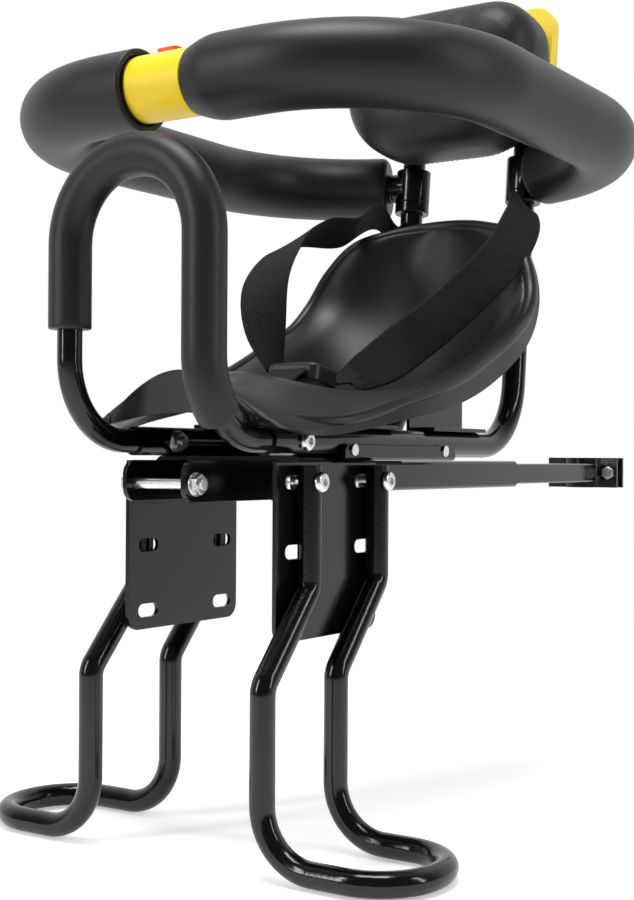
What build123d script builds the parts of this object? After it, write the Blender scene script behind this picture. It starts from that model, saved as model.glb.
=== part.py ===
from build123d import *
from math import acos, cos, degrees, pi, radians, sin, tan
import os

# Child seat that hangs on a bicycle behind the handlebar. Millimetres, +Z up.
# The child looks along -Y and has +X on the left. The origin is the head tube axis in the front fork,
# at the height of the main bar's axis.

# Clearances that the pieces share
RUN = 0.05
GAP = 0.3
SLIP = 0.1
HOLE = 0.2
PAST = 30.0

# Carrying frame
BAR_W = 38.0
BAR_H = 20.0
BAR_WALL = 2.0
BAR_FRONT = 29.0
BAR_LENGTH = 349.0
FORK_T = 3.0
FORK_H = 23.0
FORK_REACH = 38.0
FORK_LAP = 73.0
SHEET = 2.5
PLATE_SPREAD = 108.0
PLATE_FRONT = 2.0
PLATE_LENGTH = 106.0
PLATE_DROP = 91.0
WEB_LENGTH = 36.0
SLOT_L = 18.0
SLOT_W = 8.0
SLOT_SPACING_Y = 72.5
SLOT_SPACING_Z = 39.0
SLOT_TOP_Z = -1.9
BOLT_R = 3.0
HEX_AF = 10.0
HEX_H = 4.0
NUT_H = 5.0
FLANGE_R = 6.6
FLANGE_T = 1.4
DOME_R = 6.0
DOME_H = 3.3
KEY_AF = 4.0
KEY_DEPTH = 2.0

# Foot rests
FOOT_D = 14.0
FOOT_WALL = 1.5
FOOT_TOP = 7.5
FOOT_KINK_Z = -61.5
FOOT_KINK_DROP = 49.5
FOOT_KINK_SHIFT = -44.5
FOOT_LOW_Z = -205.5
FOOT_REACH = 86.0
FOOT_KINK_R = 12.0
FOOT_BEND_R = 32.0

# Seat tubes and grab handle
SEAT_TUBE_D = 17.0
SEAT_TUBE_WALL = 1.4
SEAT_TUBE_SPREAD = 94.0
SEAT_TUBE_FRONT = 0.3
SEAT_TUBE_REAR = 308.0
SEAT_TUBE_BEND = 50.0
UPRIGHT_LEAN = 6.0
UPRIGHT_TOP = 290.0
HANDLE_WALL = 1.3
HANDLE_Y = -54.0
HANDLE_TOP = 174.0
HANDLE_LOW_BEND = 45.0
HANDLE_LAP = 37.0
HANDLE_BOLT_LAP = 29.0
HANDLE_FOAM_D = 24.0
HANDLE_FOAM_RIGHT_END = 82.0
HANDLE_FOAM_TURN = 45.0
TRAY_FRONT = 66.0
TRAY_LENGTH = 136.0
TRAY_LIP = 7.0
RIVET_R = 2.0

# Guard ring
RING_Z = 220.7
RING_HALF_W = 147.6
RING_FRONT = -14.5
FRONT_STRAIGHT = 53.7
RING_TUBE_D = 22.0
RING_TUBE_WALL = 1.5
RING_FOAM_D = 47.4
HINGE_R = 13.0
HINGE_HALF = 12.5
HINGE_STUB = 2.5
HINGE_TURN = 20.0
COLLAR_H = 8.0
PLUG_L = 4.0

# Latch at the front of the ring
LATCH_D = 38.0
LATCH_RIGHT_X = -28.0
LATCH_LEFT_X = 12.0
SPIGOT_L = 8.0
SPIGOT_R = 12.0
SPIGOT_TIP_R = 9.0
SPIGOT_ROOM = 1.4
SOCKET_L = 14.0
BUTTON_X = -9.0
BUTTON_L = 16.4
BUTTON_W = 9.4
BUTTON_LIP = 1.0
BUTTON_PROUD = 2.4
BUTTON_TRAVEL = 3.0
BUTTON_BASE_H = 6.2
LATCH_LIP_T = 2.0
SPRING_R = 2.6
SPRING_WIRE_R = 0.4
SPRING_TURNS = 4
SPRING_L = 16.0

# Extension and seat post clamp
EXT_CLEAR = 0.2
EXT_WALL = 1.6
EXT_LAP = 117.0
EXT_LENGTH = 278.0
POST_R = 16.0
JAW_T = 3.0
JAW_H = 26.0
JAW_EAR = 13.0
JAW_GAP = 10.0

# Saddle and headrest
SHELL_T = 3.4
RIM_OUT = 7.0
RIM_DROP = 18.0
RIM_FRONT_DROP = 6.8
APRON_MIDDLE_Z = 36.5
APRON_CORNER_Z = 30.5
RIM_ROLL = 4.5
REST_X = 37.0
REST_GAP = 0.8
FRONT_REST_REACH = (50.0, 15.0)
REAR_REST_REACH = (8.0, 66.0)
CUSHION_W = 156.0
CUSHION_H = 110.0
CUSHION_D = 76.0
CUSHION_LOW_R = 50.0
CUSHION_TOP_R = 34.0
CUSHION_EDGE_R = 30.0
CUSHION_Z = 282.0
CUSHION_SET = 2.0
BACK_W = 130.0
BACK_H = 100.0
BACK_T = 14.0
BACK_R = 14.0
BACK_OVER = 10.5

# Harness
STRAP_T = 1.6
STRAP_LOOP_Z = 181.0
STRAP_LOOP_H = 18.0

# Values that follow from the ones above
PLATE_X = PLATE_SPREAD / 2
BAR_REAR = BAR_FRONT + BAR_LENGTH
TUBE_X = SEAT_TUBE_SPREAD / 2
TUBE_R = SEAT_TUBE_D / 2
TUBE_Z = BAR_H / 2 + SHEET + TUBE_R
HANDLE_D = SEAT_TUBE_D - 2 * SEAT_TUBE_WALL - 2 * SLIP
HANDLE_R = HANDLE_D / 2
HANDLE_TOP_BEND = TUBE_X - 1.5
HANDLE_BOLT_Y = SEAT_TUBE_FRONT + HANDLE_BOLT_LAP
SLOT_Y = (PLATE_FRONT + SLOT_L, PLATE_FRONT + SLOT_L + SLOT_SPACING_Y)
SLOT_Z = (SLOT_TOP_Z, SLOT_TOP_Z - SLOT_SPACING_Z, SLOT_TOP_Z - 2 * SLOT_SPACING_Z)
LEG_Y = tuple(y + (SLOT_L - SLOT_W) / 2 for y in SLOT_Y)
LEG_X = PLATE_X + FOOT_D / 2
FORK_X = BAR_W / 2 + FORK_T
FORK_BOLT_Y = -FORK_REACH + 8.4
FORK_BOLT_Z = BAR_H / 2 - FORK_H / 2 - 1.5
TRAY_REAR = TRAY_FRONT + TRAY_LENGTH
TRAY_X = TUBE_X + TUBE_R + GAP + SHEET
RIVET_Y = (TRAY_FRONT + 9, TRAY_REAR - 15)
RIVET_Z = TUBE_Z - 4.5
BASE_BOLT_Y = (TRAY_FRONT + 17, TRAY_REAR - 17)
RING_R = RING_TUBE_D / 2
FOAM_R = RING_FOAM_D / 2
LATCH_R = LATCH_D / 2
LEAN = radians(UPRIGHT_LEAN)
ARM_TURN = radians(HINGE_TURN)
HINGE_REACH = HINGE_R + HINGE_STUB
RING_FRONT_R = RING_HALF_W - FRONT_STRAIGHT
FOAM_START = HINGE_REACH + 3
REAR_RUN = (RING_HALF_W - TUBE_X) / cos(ARM_TURN) - FOAM_START - 2
RING_REAR_R = REAR_RUN / tan((pi / 2 - ARM_TURN) / 2)


# The y of an upright's axis at height z
def upright_y(z):
    return SEAT_TUBE_REAR + (z - TUBE_Z) * tan(LEAN)


# A point of an upright's axis, side +1 left and -1 right
def upright_point(side, z):
    return Vector(side * TUBE_X, upright_y(z), z)


UP = Vector(0, sin(LEAN), cos(LEAN))
RING_REAR = upright_y(RING_Z)


# A point of the left arm's first straight run, measured from the upright's axis
def arm_point(reach):
    return Vector(TUBE_X + reach * cos(ARM_TURN), RING_REAR - reach * sin(ARM_TURN), RING_Z)


# Sketches pushed along one axis between two places
def along_x(sketch, x0, x1):
    return extrude(Plane(origin=(x0, 0, 0), x_dir=(0, 1, 0), z_dir=(1, 0, 0)) * sketch, amount=x1 - x0)


def along_y(sketch, y0, y1):
    return extrude(Plane(origin=(0, y0, 0), x_dir=(1, 0, 0), z_dir=(0, -1, 0)) * sketch, amount=y0 - y1)


def along_z(sketch, z0, z1):
    return extrude(Plane.XY.offset(z0) * sketch, amount=z1 - z0)


# Round rod from one point to another
def rod(start, end, radius):
    way = Vector(*end) - Vector(*start)
    return extrude(Plane(origin=start, z_dir=way) * Circle(radius), amount=way.length)


# Hexagonal rod, measured across the flats
def hex_rod(start, end, flats):
    way = Vector(*end) - Vector(*start)
    face = RegularPolygon(radius=flats / 2, side_count=6, major_radius=False)
    return extrude(Plane(origin=start, z_dir=way) * face, amount=way.length)


# Hex bolt: seat is the underside of the head, way points from the head to the tip
def hex_bolt(seat, way, length):
    seat = Vector(*seat)
    way = Vector(*way)
    head = hex_rod(seat - way * HEX_H, seat, HEX_AF)
    return head + rod(seat, seat + way * length, BOLT_R)


# Bolt with a low round head and a hexagon key socket, measured in the same way
def dome_bolt(seat, way, length):
    seat = Vector(*seat)
    way = Vector(*way)
    head = rod(seat, seat - way * DOME_H, DOME_R)
    rim = head.edges().filter_by(GeomType.CIRCLE).sort_by(Axis(seat, -way))[-1]
    head = fillet(rim, DOME_H - 0.6)
    key = hex_rod(seat - way * (DOME_H + 1), seat - way * (DOME_H - KEY_DEPTH), KEY_AF)
    return (head - key) + rod(seat, seat + way * length, BOLT_R)


# Flange nut: seat is its bearing face, way points from that face to the tip
def flange_nut(seat, way):
    seat = Vector(*seat)
    way = Vector(*way)
    nut = rod(seat, seat + way * FLANGE_T, FLANGE_R) + hex_rod(seat, seat + way * NUT_H, HEX_AF)
    return nut - rod(seat - way, seat + way * (NUT_H + 1), BOLT_R + SLIP)


# Round tube or bar: straight runs and round bends through the points; bore zero gives a solid bar
def bent(points, bends, radius, bore):
    points = [Vector(*p) for p in points]
    section = Circle(radius)
    if bore:
        section = section - Circle(bore)
    pieces = []
    start = points[0]
    for before, corner, after, bend in zip(points, points[1:], points[2:], bends):
        back = (before - corner).normalized()
        ahead = (after - corner).normalized()
        turn = pi - acos(back.dot(ahead))
        enter = corner + back * (bend * tan(turn / 2))
        pieces.append(straight(section, start, enter))
        centre = corner + (back + ahead).normalized() * (bend / cos(turn / 2))
        pieces.append(turned(section, enter, -back, centre, ahead, turn))
        start = corner + ahead * (bend * tan(turn / 2))
    pieces.append(straight(section, start, points[-1]))
    return Part() + pieces


def straight(section, start, end):
    way = end - start
    return extrude(Plane(origin=start, z_dir=way) * section, amount=way.length)


# A section carried round a centre from one direction towards another
def turned(section, start, way, centre, ahead, turn):
    pivot = Axis(centre, way.cross(ahead))
    return revolve(Plane(origin=start, z_dir=way) * section, axis=pivot, revolution_arc=degrees(turn))


# The same solid on the other side of the middle plane
def other_side(body):
    return mirror(body, about=Plane.YZ)


def both_sides(body):
    return Compound(children=[body.solid(), other_side(body).solid()])


def several(bodies):
    return Compound(children=[piece for body in bodies for piece in body.solids()])


# Carrying frame
def main_bar():
    outer = RectangleRounded(BAR_W, BAR_H, 3)
    inner = RectangleRounded(BAR_W - 2 * BAR_WALL, BAR_H - 2 * BAR_WALL, 1)
    bar = along_y(outer - inner, BAR_FRONT, BAR_REAR)
    for y in BASE_BOLT_Y:
        bar = bar - rod((0, y, -BAR_H), (0, y, BAR_H), BOLT_R + HOLE)
    return bar - rod((-BAR_W, LOCK_Y, 0), (0, LOCK_Y, 0), BOLT_R + HOLE)


def front_arm():
    length = FORK_REACH + BAR_FRONT + FORK_LAP
    face = Pos(length / 2 - FORK_REACH, BAR_H / 2 - FORK_H / 2) * RectangleRounded(length, FORK_H, 8)
    arm = along_x(face, BAR_W / 2, FORK_X)
    return arm - rod((0, FORK_BOLT_Y, FORK_BOLT_Z), (2 * FORK_X, FORK_BOLT_Y, FORK_BOLT_Z), BOLT_R + HOLE)


def mount_bracket():
    top = BAR_H / 2 + SHEET
    tall = top + PLATE_DROP
    outer = Pos(0, top - tall) * RectangleRounded(2 * PLATE_X, 2 * tall, 5)
    inner = Pos(0, top - SHEET - tall) * RectangleRounded(2 * (PLATE_X - SHEET), 2 * tall, 5 - SHEET)
    keep = Pos(0, top - tall / 2) * Rectangle(3 * PLATE_X, tall)
    body = along_y((outer - inner) & keep, PLATE_FRONT, PLATE_FRONT + PLATE_LENGTH)
    side_tall = tall + PAST
    side = Pos(PLATE_FRONT + PLATE_LENGTH / 2, -PLATE_DROP + side_tall / 2)
    body = body & along_x(side * RectangleRounded(PLATE_LENGTH, side_tall, 9), -PLATE_X, PLATE_X)
    for middle in (BAR_FRONT - PLATE_LENGTH / 2, BAR_FRONT + WEB_LENGTH + PLATE_LENGTH / 2):
        relief = Pos(middle, top) * Rectangle(PLATE_LENGTH, 2 * (SHEET + GAP))
        body = body - along_x(relief, -2 * PLATE_X, 2 * PLATE_X)
    for y in SLOT_Y:
        for z in SLOT_Z:
            body = body - along_x(Pos(y, z) * SlotOverall(SLOT_L, SLOT_W), -2 * PLATE_X, 2 * PLATE_X)
    return body


def foot_rest():
    front, rear = LEG_Y
    low = FOOT_KINK_Z - FOOT_KINK_DROP
    out = LEG_X + FOOT_REACH
    points = [
        (LEG_X, front, FOOT_TOP),
        (LEG_X, front, FOOT_KINK_Z),
        (LEG_X, front + FOOT_KINK_SHIFT, low),
        (LEG_X, front + FOOT_KINK_SHIFT, FOOT_LOW_Z),
        (out, front + FOOT_KINK_SHIFT, FOOT_LOW_Z),
        (out, rear + FOOT_KINK_SHIFT, FOOT_LOW_Z),
        (LEG_X, rear + FOOT_KINK_SHIFT, FOOT_LOW_Z),
        (LEG_X, rear + FOOT_KINK_SHIFT, low),
        (LEG_X, rear, FOOT_KINK_Z),
        (LEG_X, rear, FOOT_TOP),
    ]
    loop_r = (rear - front) / 2 - 1.5
    bends = [FOOT_KINK_R, FOOT_KINK_R, FOOT_BEND_R, loop_r, loop_r, FOOT_BEND_R, FOOT_KINK_R, FOOT_KINK_R]
    body = bent(points, bends, FOOT_D / 2, FOOT_D / 2 - FOOT_WALL)
    for y in LEG_Y:
        body = body - rod((0, y, SLOT_TOP_Z), (2 * LEG_X, y, SLOT_TOP_Z), BOLT_R + HOLE)
    return body


def foot_bolts():
    length = FOOT_D + SHEET + NUT_H + 2
    bolts = []
    for y in LEG_Y:
        bolts.append(dome_bolt((LEG_X + FOOT_D / 2, y, SLOT_TOP_Z), (-1, 0, 0), length))
    return bolts


def foot_nuts():
    return [flange_nut((PLATE_X - SHEET, y, SLOT_TOP_Z), (-1, 0, 0)) for y in LEG_Y]


def fork_bolt():
    return hex_bolt((-FORK_X, FORK_BOLT_Y, FORK_BOLT_Z), (1, 0, 0), 2 * FORK_X + NUT_H + 2)


def fork_nut():
    return flange_nut((FORK_X, FORK_BOLT_Y, FORK_BOLT_Z), (1, 0, 0))


# Seat tubes, tray and handle
def seat_tube():
    points = [
        (TUBE_X, SEAT_TUBE_FRONT, TUBE_Z),
        (TUBE_X, SEAT_TUBE_REAR, TUBE_Z),
        upright_point(1, UPRIGHT_TOP),
    ]
    body = bent(points, [SEAT_TUBE_BEND], TUBE_R, TUBE_R - SEAT_TUBE_WALL)
    body = body - rod((0, HANDLE_BOLT_Y, TUBE_Z), (2 * TUBE_X, HANDLE_BOLT_Y, TUBE_Z), BOLT_R + HOLE)
    for y in RIVET_Y:
        body = body - rod((TUBE_X, y, RIVET_Z), (2 * TUBE_X, y, RIVET_Z), RIVET_R + SLIP)
    return body


def seat_base_tray():
    low = BAR_H / 2
    tall = SHEET + TRAY_LIP
    outer = Pos(0, low + tall) * RectangleRounded(2 * TRAY_X, 2 * tall, 3)
    inner = Pos(0, low + SHEET + tall) * RectangleRounded(2 * (TRAY_X - SHEET), 2 * tall, 0.4)
    keep = Pos(0, low + tall / 2) * Rectangle(3 * TRAY_X, tall)
    body = along_y((outer - inner) & keep, TRAY_FRONT, TRAY_REAR)
    side = Pos((TRAY_FRONT + TRAY_REAR) / 2, low) * RectangleRounded(TRAY_LENGTH, 2 * tall, 5)
    body = body & along_x(side, -TRAY_X, TRAY_X)
    for y in BASE_BOLT_Y:
        body = body - rod((0, y, 0), (0, y, 3 * BAR_H), BOLT_R + HOLE)
    for y in RIVET_Y:
        body = body - rod((-2 * TRAY_X, y, RIVET_Z), (2 * TRAY_X, y, RIVET_Z), RIVET_R + SLIP)
    return body


def tray_rivets():
    rivets = []
    for y in RIVET_Y:
        head = rod((TRAY_X, y, RIVET_Z), (TRAY_X + 1.6, y, RIVET_Z), 3.6)
        rivets.append(head + rod((TRAY_X, y, RIVET_Z), (TUBE_X + TUBE_R - 4, y, RIVET_Z), RIVET_R))
    return rivets


def base_bolts():
    length = SHEET + BAR_H + NUT_H + 2
    return [hex_bolt((0, y, BAR_H / 2 + SHEET), (0, 0, -1), length) for y in BASE_BOLT_Y]


def base_nuts():
    return [flange_nut((0, y, -BAR_H / 2), (0, 0, -1)) for y in BASE_BOLT_Y]


def grab_handle():
    rear = SEAT_TUBE_FRONT + HANDLE_LAP
    points = [
        (-TUBE_X, rear, TUBE_Z),
        (-TUBE_X, HANDLE_Y, TUBE_Z),
        (-TUBE_X, HANDLE_Y, HANDLE_TOP),
        (TUBE_X, HANDLE_Y, HANDLE_TOP),
        (TUBE_X, HANDLE_Y, TUBE_Z),
        (TUBE_X, rear, TUBE_Z),
    ]
    bends = [HANDLE_LOW_BEND, HANDLE_TOP_BEND, HANDLE_TOP_BEND, HANDLE_LOW_BEND]
    body = bent(points, bends, HANDLE_R, HANDLE_R - HANDLE_WALL)
    across = 2 * TUBE_X
    return body - rod((-across, HANDLE_BOLT_Y, TUBE_Z), (across, HANDLE_BOLT_Y, TUBE_Z), BOLT_R + HOLE)


def grab_handle_foam():
    bend_y = HANDLE_Y + HANDLE_LOW_BEND
    bend_z = TUBE_Z + HANDLE_LOW_BEND
    points = [
        (-TUBE_X, HANDLE_Y, HANDLE_FOAM_RIGHT_END),
        (-TUBE_X, HANDLE_Y, HANDLE_TOP),
        (TUBE_X, HANDLE_Y, HANDLE_TOP),
        (TUBE_X, HANDLE_Y, bend_z),
    ]
    radius = HANDLE_FOAM_D / 2
    bore = HANDLE_R + SLIP
    run = bent(points, [HANDLE_TOP_BEND, HANDLE_TOP_BEND], radius, bore)
    section = Circle(radius) - Circle(bore)
    centre = Vector(TUBE_X, bend_y, bend_z)
    turn = turned(section, points[-1], Vector(0, 0, -1), centre, Vector(0, 1, 0), radians(HANDLE_FOAM_TURN))
    return run + turn


def handle_bolt():
    length = SEAT_TUBE_D + NUT_H + 2
    return dome_bolt((TUBE_X + TUBE_R, HANDLE_BOLT_Y, TUBE_Z), (-1, 0, 0), length)


def handle_nut():
    return flange_nut((TUBE_X - TUBE_R, HANDLE_BOLT_Y, TUBE_Z), (-1, 0, 0))


# Extension tube and seat post clamp
EXT_W = BAR_W - 2 * BAR_WALL - 2 * EXT_CLEAR
EXT_H = BAR_H - 2 * BAR_WALL - 2 * EXT_CLEAR
EXT_FRONT = BAR_REAR - EXT_LAP
EXT_REAR = EXT_FRONT + EXT_LENGTH
LOCK_Y = BAR_REAR - 22
POST_Y = EXT_REAR + POST_R + JAW_T
JAW_X = POST_R + JAW_T + JAW_EAR
EAR_BOLT_X = JAW_X - 7


def extension_tube():
    outer = RectangleRounded(EXT_W, EXT_H, 2)
    inner = RectangleRounded(EXT_W - 2 * EXT_WALL, EXT_H - 2 * EXT_WALL, 0.8)
    return along_y(outer - inner, EXT_FRONT, EXT_REAR)


# One half of the clamp, way -1 in front of the post and +1 behind it
def clamp_jaw(way):
    ring = Circle(POST_R + JAW_T)
    ear = Pos(0, way * (JAW_GAP / 2 + JAW_T / 2)) * Rectangle(2 * JAW_X, JAW_T)
    half = Pos(0, way * (JAW_GAP / 2 + JAW_X)) * Rectangle(3 * JAW_X, 2 * JAW_X)
    face = ((ring & half) + ear) - Circle(POST_R)
    jaw = along_z(Pos(0, POST_Y) * face, -JAW_H / 2, JAW_H / 2)
    for x in (-EAR_BOLT_X, EAR_BOLT_X):
        jaw = jaw - rod((x, POST_Y - JAW_X, 0), (x, POST_Y + JAW_X, 0), BOLT_R + HOLE)
    return jaw


def clamp_bolts():
    seat = POST_Y - JAW_GAP / 2 - JAW_T
    length = JAW_GAP + 2 * JAW_T + NUT_H + 3
    return [hex_bolt((x, seat, 0), (0, 1, 0), length) for x in (-EAR_BOLT_X, EAR_BOLT_X)]


def clamp_nuts():
    return [flange_nut((x, POST_Y + JAW_GAP / 2 + JAW_T, 0), (0, 1, 0)) for x in (-EAR_BOLT_X, EAR_BOLT_X)]


def lock_bolt():
    seat = -BAR_W / 2 - NUT_H - 3
    return hex_bolt((seat, LOCK_Y, 0), (1, 0, 0), -EXT_W / 2 - GAP - seat)


def lock_nut():
    return flange_nut((-BAR_W / 2, LOCK_Y, 0), (-1, 0, 0))


# Guard arms, built for the left side
def arm_run(start, end_x, radius, bore):
    corner = arm_point((RING_HALF_W - TUBE_X) / cos(ARM_TURN))
    points = [
        arm_point(start),
        corner,
        (RING_HALF_W, RING_FRONT, RING_Z),
        (end_x, RING_FRONT, RING_Z),
    ]
    return bent(points, [RING_REAR_R, RING_FRONT_R], radius, bore)


def hinge_sleeve():
    middle = upright_point(1, RING_Z)
    body = rod(middle - UP * HINGE_HALF, middle + UP * HINGE_HALF, HINGE_R)
    body = body + rod(middle, arm_point(HINGE_REACH), RING_R)
    plug_r = RING_R - RING_TUBE_WALL - SLIP
    body = body + rod(middle, arm_point(HINGE_REACH + PLUG_L), plug_r)
    return body - rod(middle - UP * PAST, middle + UP * PAST, TUBE_R + RUN)


def stop_collar():
    top = upright_point(1, RING_Z) - UP * (HINGE_HALF + GAP)
    body = rod(top - UP * COLLAR_H, top, HINGE_R)
    return body - rod(top - UP * PAST, top + UP * PAST, TUBE_R + SLIP / 2)


# The arm's end at the latch differs between the two sides
def arm_tube(end_x):
    return arm_run(HINGE_REACH, end_x, RING_R, RING_R - RING_TUBE_WALL)


def arm_foam(end_x):
    return arm_run(FOAM_START, end_x, FOAM_R, RING_R + SLIP)


LATCH_PLUG_R = RING_R - RING_TUBE_WALL - SLIP
WINDOW_L = BUTTON_L - 2 * BUTTON_LIP
WINDOW_W = BUTTON_W - 2 * BUTTON_LIP
LIP_LOW = LATCH_R - LATCH_LIP_T
BUTTON_TOP = LATCH_R + BUTTON_PROUD
BUTTON_LOW = LIP_LOW - GAP - BUTTON_BASE_H
POCKET_LOW = BUTTON_LOW - BUTTON_TRAVEL - GAP
SPRING_FLOOR = BUTTON_LOW - SPRING_L


# Upright block on the latch, its height measured from the ring's axis
def latch_block(length, width, low, high, corner):
    face = Pos(BUTTON_X, RING_FRONT) * RectangleRounded(length, width, corner)
    return along_z(face, RING_Z + low, RING_Z + high)


def latch_sleeve():
    y = RING_FRONT
    z = RING_Z
    body = rod((LATCH_RIGHT_X, y, z), (LATCH_LEFT_X, y, z), LATCH_R)
    body = fillet(body.edges().filter_by(GeomType.CIRCLE), 1.2)
    body = body + rod((LATCH_LEFT_X - 1, y, z), (LATCH_LEFT_X + PLUG_L, y, z), LATCH_PLUG_R)
    root = Plane(origin=(LATCH_RIGHT_X + 1, y, z), z_dir=(-1, 0, 0)) * Circle(SPIGOT_R)
    tip = Plane(origin=(LATCH_RIGHT_X - SPIGOT_L, y, z), z_dir=(-1, 0, 0)) * Circle(SPIGOT_TIP_R)
    body = body + loft([root.face(), tip.face()])
    room = 2 * GAP
    body = body - latch_block(BUTTON_L + room, BUTTON_W + room, POCKET_LOW, LIP_LOW, 2)
    body = body - latch_block(WINDOW_L + room, WINDOW_W + room, LIP_LOW - 1, 2 * LATCH_R, 2)
    foot = (BUTTON_X, y, z + SPRING_FLOOR)
    return body - rod(foot, (BUTTON_X, y, z + BUTTON_LOW), SPRING_R + SPRING_WIRE_R + 0.5)


def latch_button():
    base = latch_block(BUTTON_L, BUTTON_W, BUTTON_LOW, BUTTON_LOW + BUTTON_BASE_H, 2)
    cap = latch_block(WINDOW_L, WINDOW_W, BUTTON_LOW, BUTTON_TOP, 2)
    cap = fillet(cap.faces().sort_by(Axis.Z)[-1].edges(), 1)
    return base + cap


def button_spring():
    tall = SPRING_L - 2 * SPRING_WIRE_R - 0.1
    coil = Helix(pitch=tall / SPRING_TURNS, height=tall, radius=SPRING_R)
    wire = Plane(origin=coil @ 0, z_dir=coil % 0) * Rectangle(2 * SPRING_WIRE_R, 2 * SPRING_WIRE_R)
    body = sweep(wire, path=coil)
    return Pos(BUTTON_X, RING_FRONT, RING_Z + SPRING_FLOOR + SPRING_WIRE_R + 0.05) * body


def latch_socket():
    y = RING_FRONT
    z = RING_Z
    face_x = LATCH_RIGHT_X - GAP
    back_x = face_x - SOCKET_L
    body = rod((face_x, y, z), (back_x, y, z), LATCH_R)
    body = body + rod((back_x + 1, y, z), (back_x - PLUG_L, y, z), LATCH_PLUG_R)
    return body - rod((face_x + 1, y, z), (face_x - SPIGOT_L - 2, y, z), SPIGOT_R + SPIGOT_ROOM)


def right_foam():
    face_x = LATCH_RIGHT_X - GAP
    foam = other_side(arm_foam(-face_x))
    core = rod((face_x + 1, RING_FRONT, RING_Z), (face_x - SOCKET_L - SLIP, RING_FRONT, RING_Z), LATCH_R + SLIP)
    return foam - core


# Saddle: rows from the front edge over the pommel and the seat up to the top of the back.
# Each row: y and z of the middle, half width, rise of the rim along the row's normal, how late it rises.
FRONT_REST_ROW = (117.8, 47.6, 93.0, 10.0, 1.6)
REAR_REST_ROW = (186.2, 50.3, 93.0, 32.0, 2.2)
SADDLE_ROWS = [
    (-16.2, 60.6, 47.0, -24.0, 2.0),
    (26.1, 61.6, 78.0, -27.0, 2.0),
    (71.9, 54.6, 89.0, -9.0, 2.2),
    FRONT_REST_ROW,
    REAR_REST_ROW,
    (225.9, 63.7, 93.0, 36.0, 2.2),
    (254.0, 90.1, 90.0, 28.0, 2.0),
    (269.0, 116.0, 86.0, 22.0, 1.9),
    (278.0, 142.0, 77.0, 20.0, 1.8),
    (284.0, 165.0, 59.0, 16.0, 1.8),
    (287.0, 176.0, 34.0, 7.0, 1.6),
    (289.0, 182.0, 9.0, 0.5, 1.5),
]
SADDLE_COLUMNS = (0.0, 0.25, 0.45, 0.65, 0.85, 1.0)
FRONT_REST = (FRONT_REST_ROW[0] - FRONT_REST_REACH[0], FRONT_REST_ROW[0] + FRONT_REST_REACH[1])
REAR_REST = (REAR_REST_ROW[0] - REAR_REST_REACH[0], REAR_REST_ROW[0] + REAR_REST_REACH[1])


# Unit normal of the middle line at a row, towards the child
def row_normal(index):
    before = SADDLE_ROWS[max(index - 1, 0)]
    after = SADDLE_ROWS[min(index + 1, len(SADDLE_ROWS) - 1)]
    way = Vector(0, after[0] - before[0], after[1] - before[1]).normalized()
    return Vector(0, -way.Z, way.Y)


# How far the surface has risen at a share t of the half width
def row_rise(index, t):
    rise, late = SADDLE_ROWS[index][3:]
    if rise < 0:
        return rise * t ** late
    return rise * ((1 - cos(pi * t)) / 2) ** late


# Height of the rim's flange: shallow at the front, deep beside the seat, shallow round the back
def rim_drop(index):
    deep = RIM_FRONT_DROP + (RIM_DROP - RIM_FRONT_DROP) * min(1.0, max(0.0, index / SADDLE_ROWS.index(REAR_REST_ROW)))
    return deep * max(0.45, row_normal(index).Z)


def opposite(point):
    return Vector(-point.X, point.Y, point.Z)


# Half of a row's section: the curve over the seat, then the two corners of the rolled rim
def saddle_half_row(index, depth):
    y, z, half, rise, late = SADDLE_ROWS[index]
    normal = row_normal(index)
    middle = Vector(0, y, z) - normal * depth
    inset = depth / SHELL_T
    curve = [middle + Vector(t * (half - inset), 0, 0) + normal * row_rise(index, t) for t in SADDLE_COLUMNS]
    drop = rim_drop(index)
    edge = half + RIM_OUT - depth
    shoulder = middle + Vector(edge, 0, 0) + normal * (rise - RIM_ROLL + depth / 2)
    hem = middle + Vector(edge + 0.5, 0, 0) + normal * (rise - drop + depth)
    return curve, shoulder, hem


def saddle_section(index):
    over, over_shoulder, over_hem = saddle_half_row(index, 0)
    under, under_shoulder, under_hem = saddle_half_row(index, SHELL_T)
    over_all = [opposite(p) for p in reversed(over[1:])] + over
    under_all = [opposite(p) for p in reversed(under[1:])] + under
    right = [over[-1], over_shoulder, over_hem, under_hem, under_shoulder, under[-1]]
    edges = [Spline(*over_all).edge(), Spline(*under_all).edge()]
    for start, end in zip(right, right[1:]):
        edges.append(Line(start, end).edge())
        edges.append(Line(opposite(start), opposite(end)).edge())
    return Face(Wire.combine(edges)[0])


# Front apron below the arch of the first row
def saddle_apron():
    y, z, half = SADDLE_ROWS[0][:3]
    arch = [Vector(t * half, z + row_rise(0, t) - SHELL_T / 2) for t in SADDLE_COLUMNS]
    arch = [opposite(p) for p in reversed(arch[1:])] + arch
    low = [Vector(-half, APRON_CORNER_Z), Vector(0, APRON_MIDDLE_Z), Vector(half, APRON_CORNER_Z)]
    edges = [Spline(*arch).edge(), ThreePointArc(*low).edge()]
    edges.append(Line(arch[0], low[0]).edge())
    edges.append(Line(arch[-1], low[-1]).edge())
    return along_y(Face(Wire.combine(edges)[0]), y + GAP, y + GAP + SHELL_T)


def saddle():
    shell = loft([saddle_section(index) for index in range(len(SADDLE_ROWS))])
    shell = shell + saddle_apron()
    for row in (FRONT_REST_ROW, REAR_REST_ROW):
        shell = shell - rod(*saddle_bolt_line(row, 20), BOLT_R + HOLE)
    return shell


# Where a saddle bolt runs: square to the shell through the middle of a row
def saddle_bolt_line(row, reach):
    y, z = row[:2]
    normal = row_normal(SADDLE_ROWS.index(row))
    middle = Vector(0, y, z)
    return middle + normal * reach, middle - normal * reach


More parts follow.
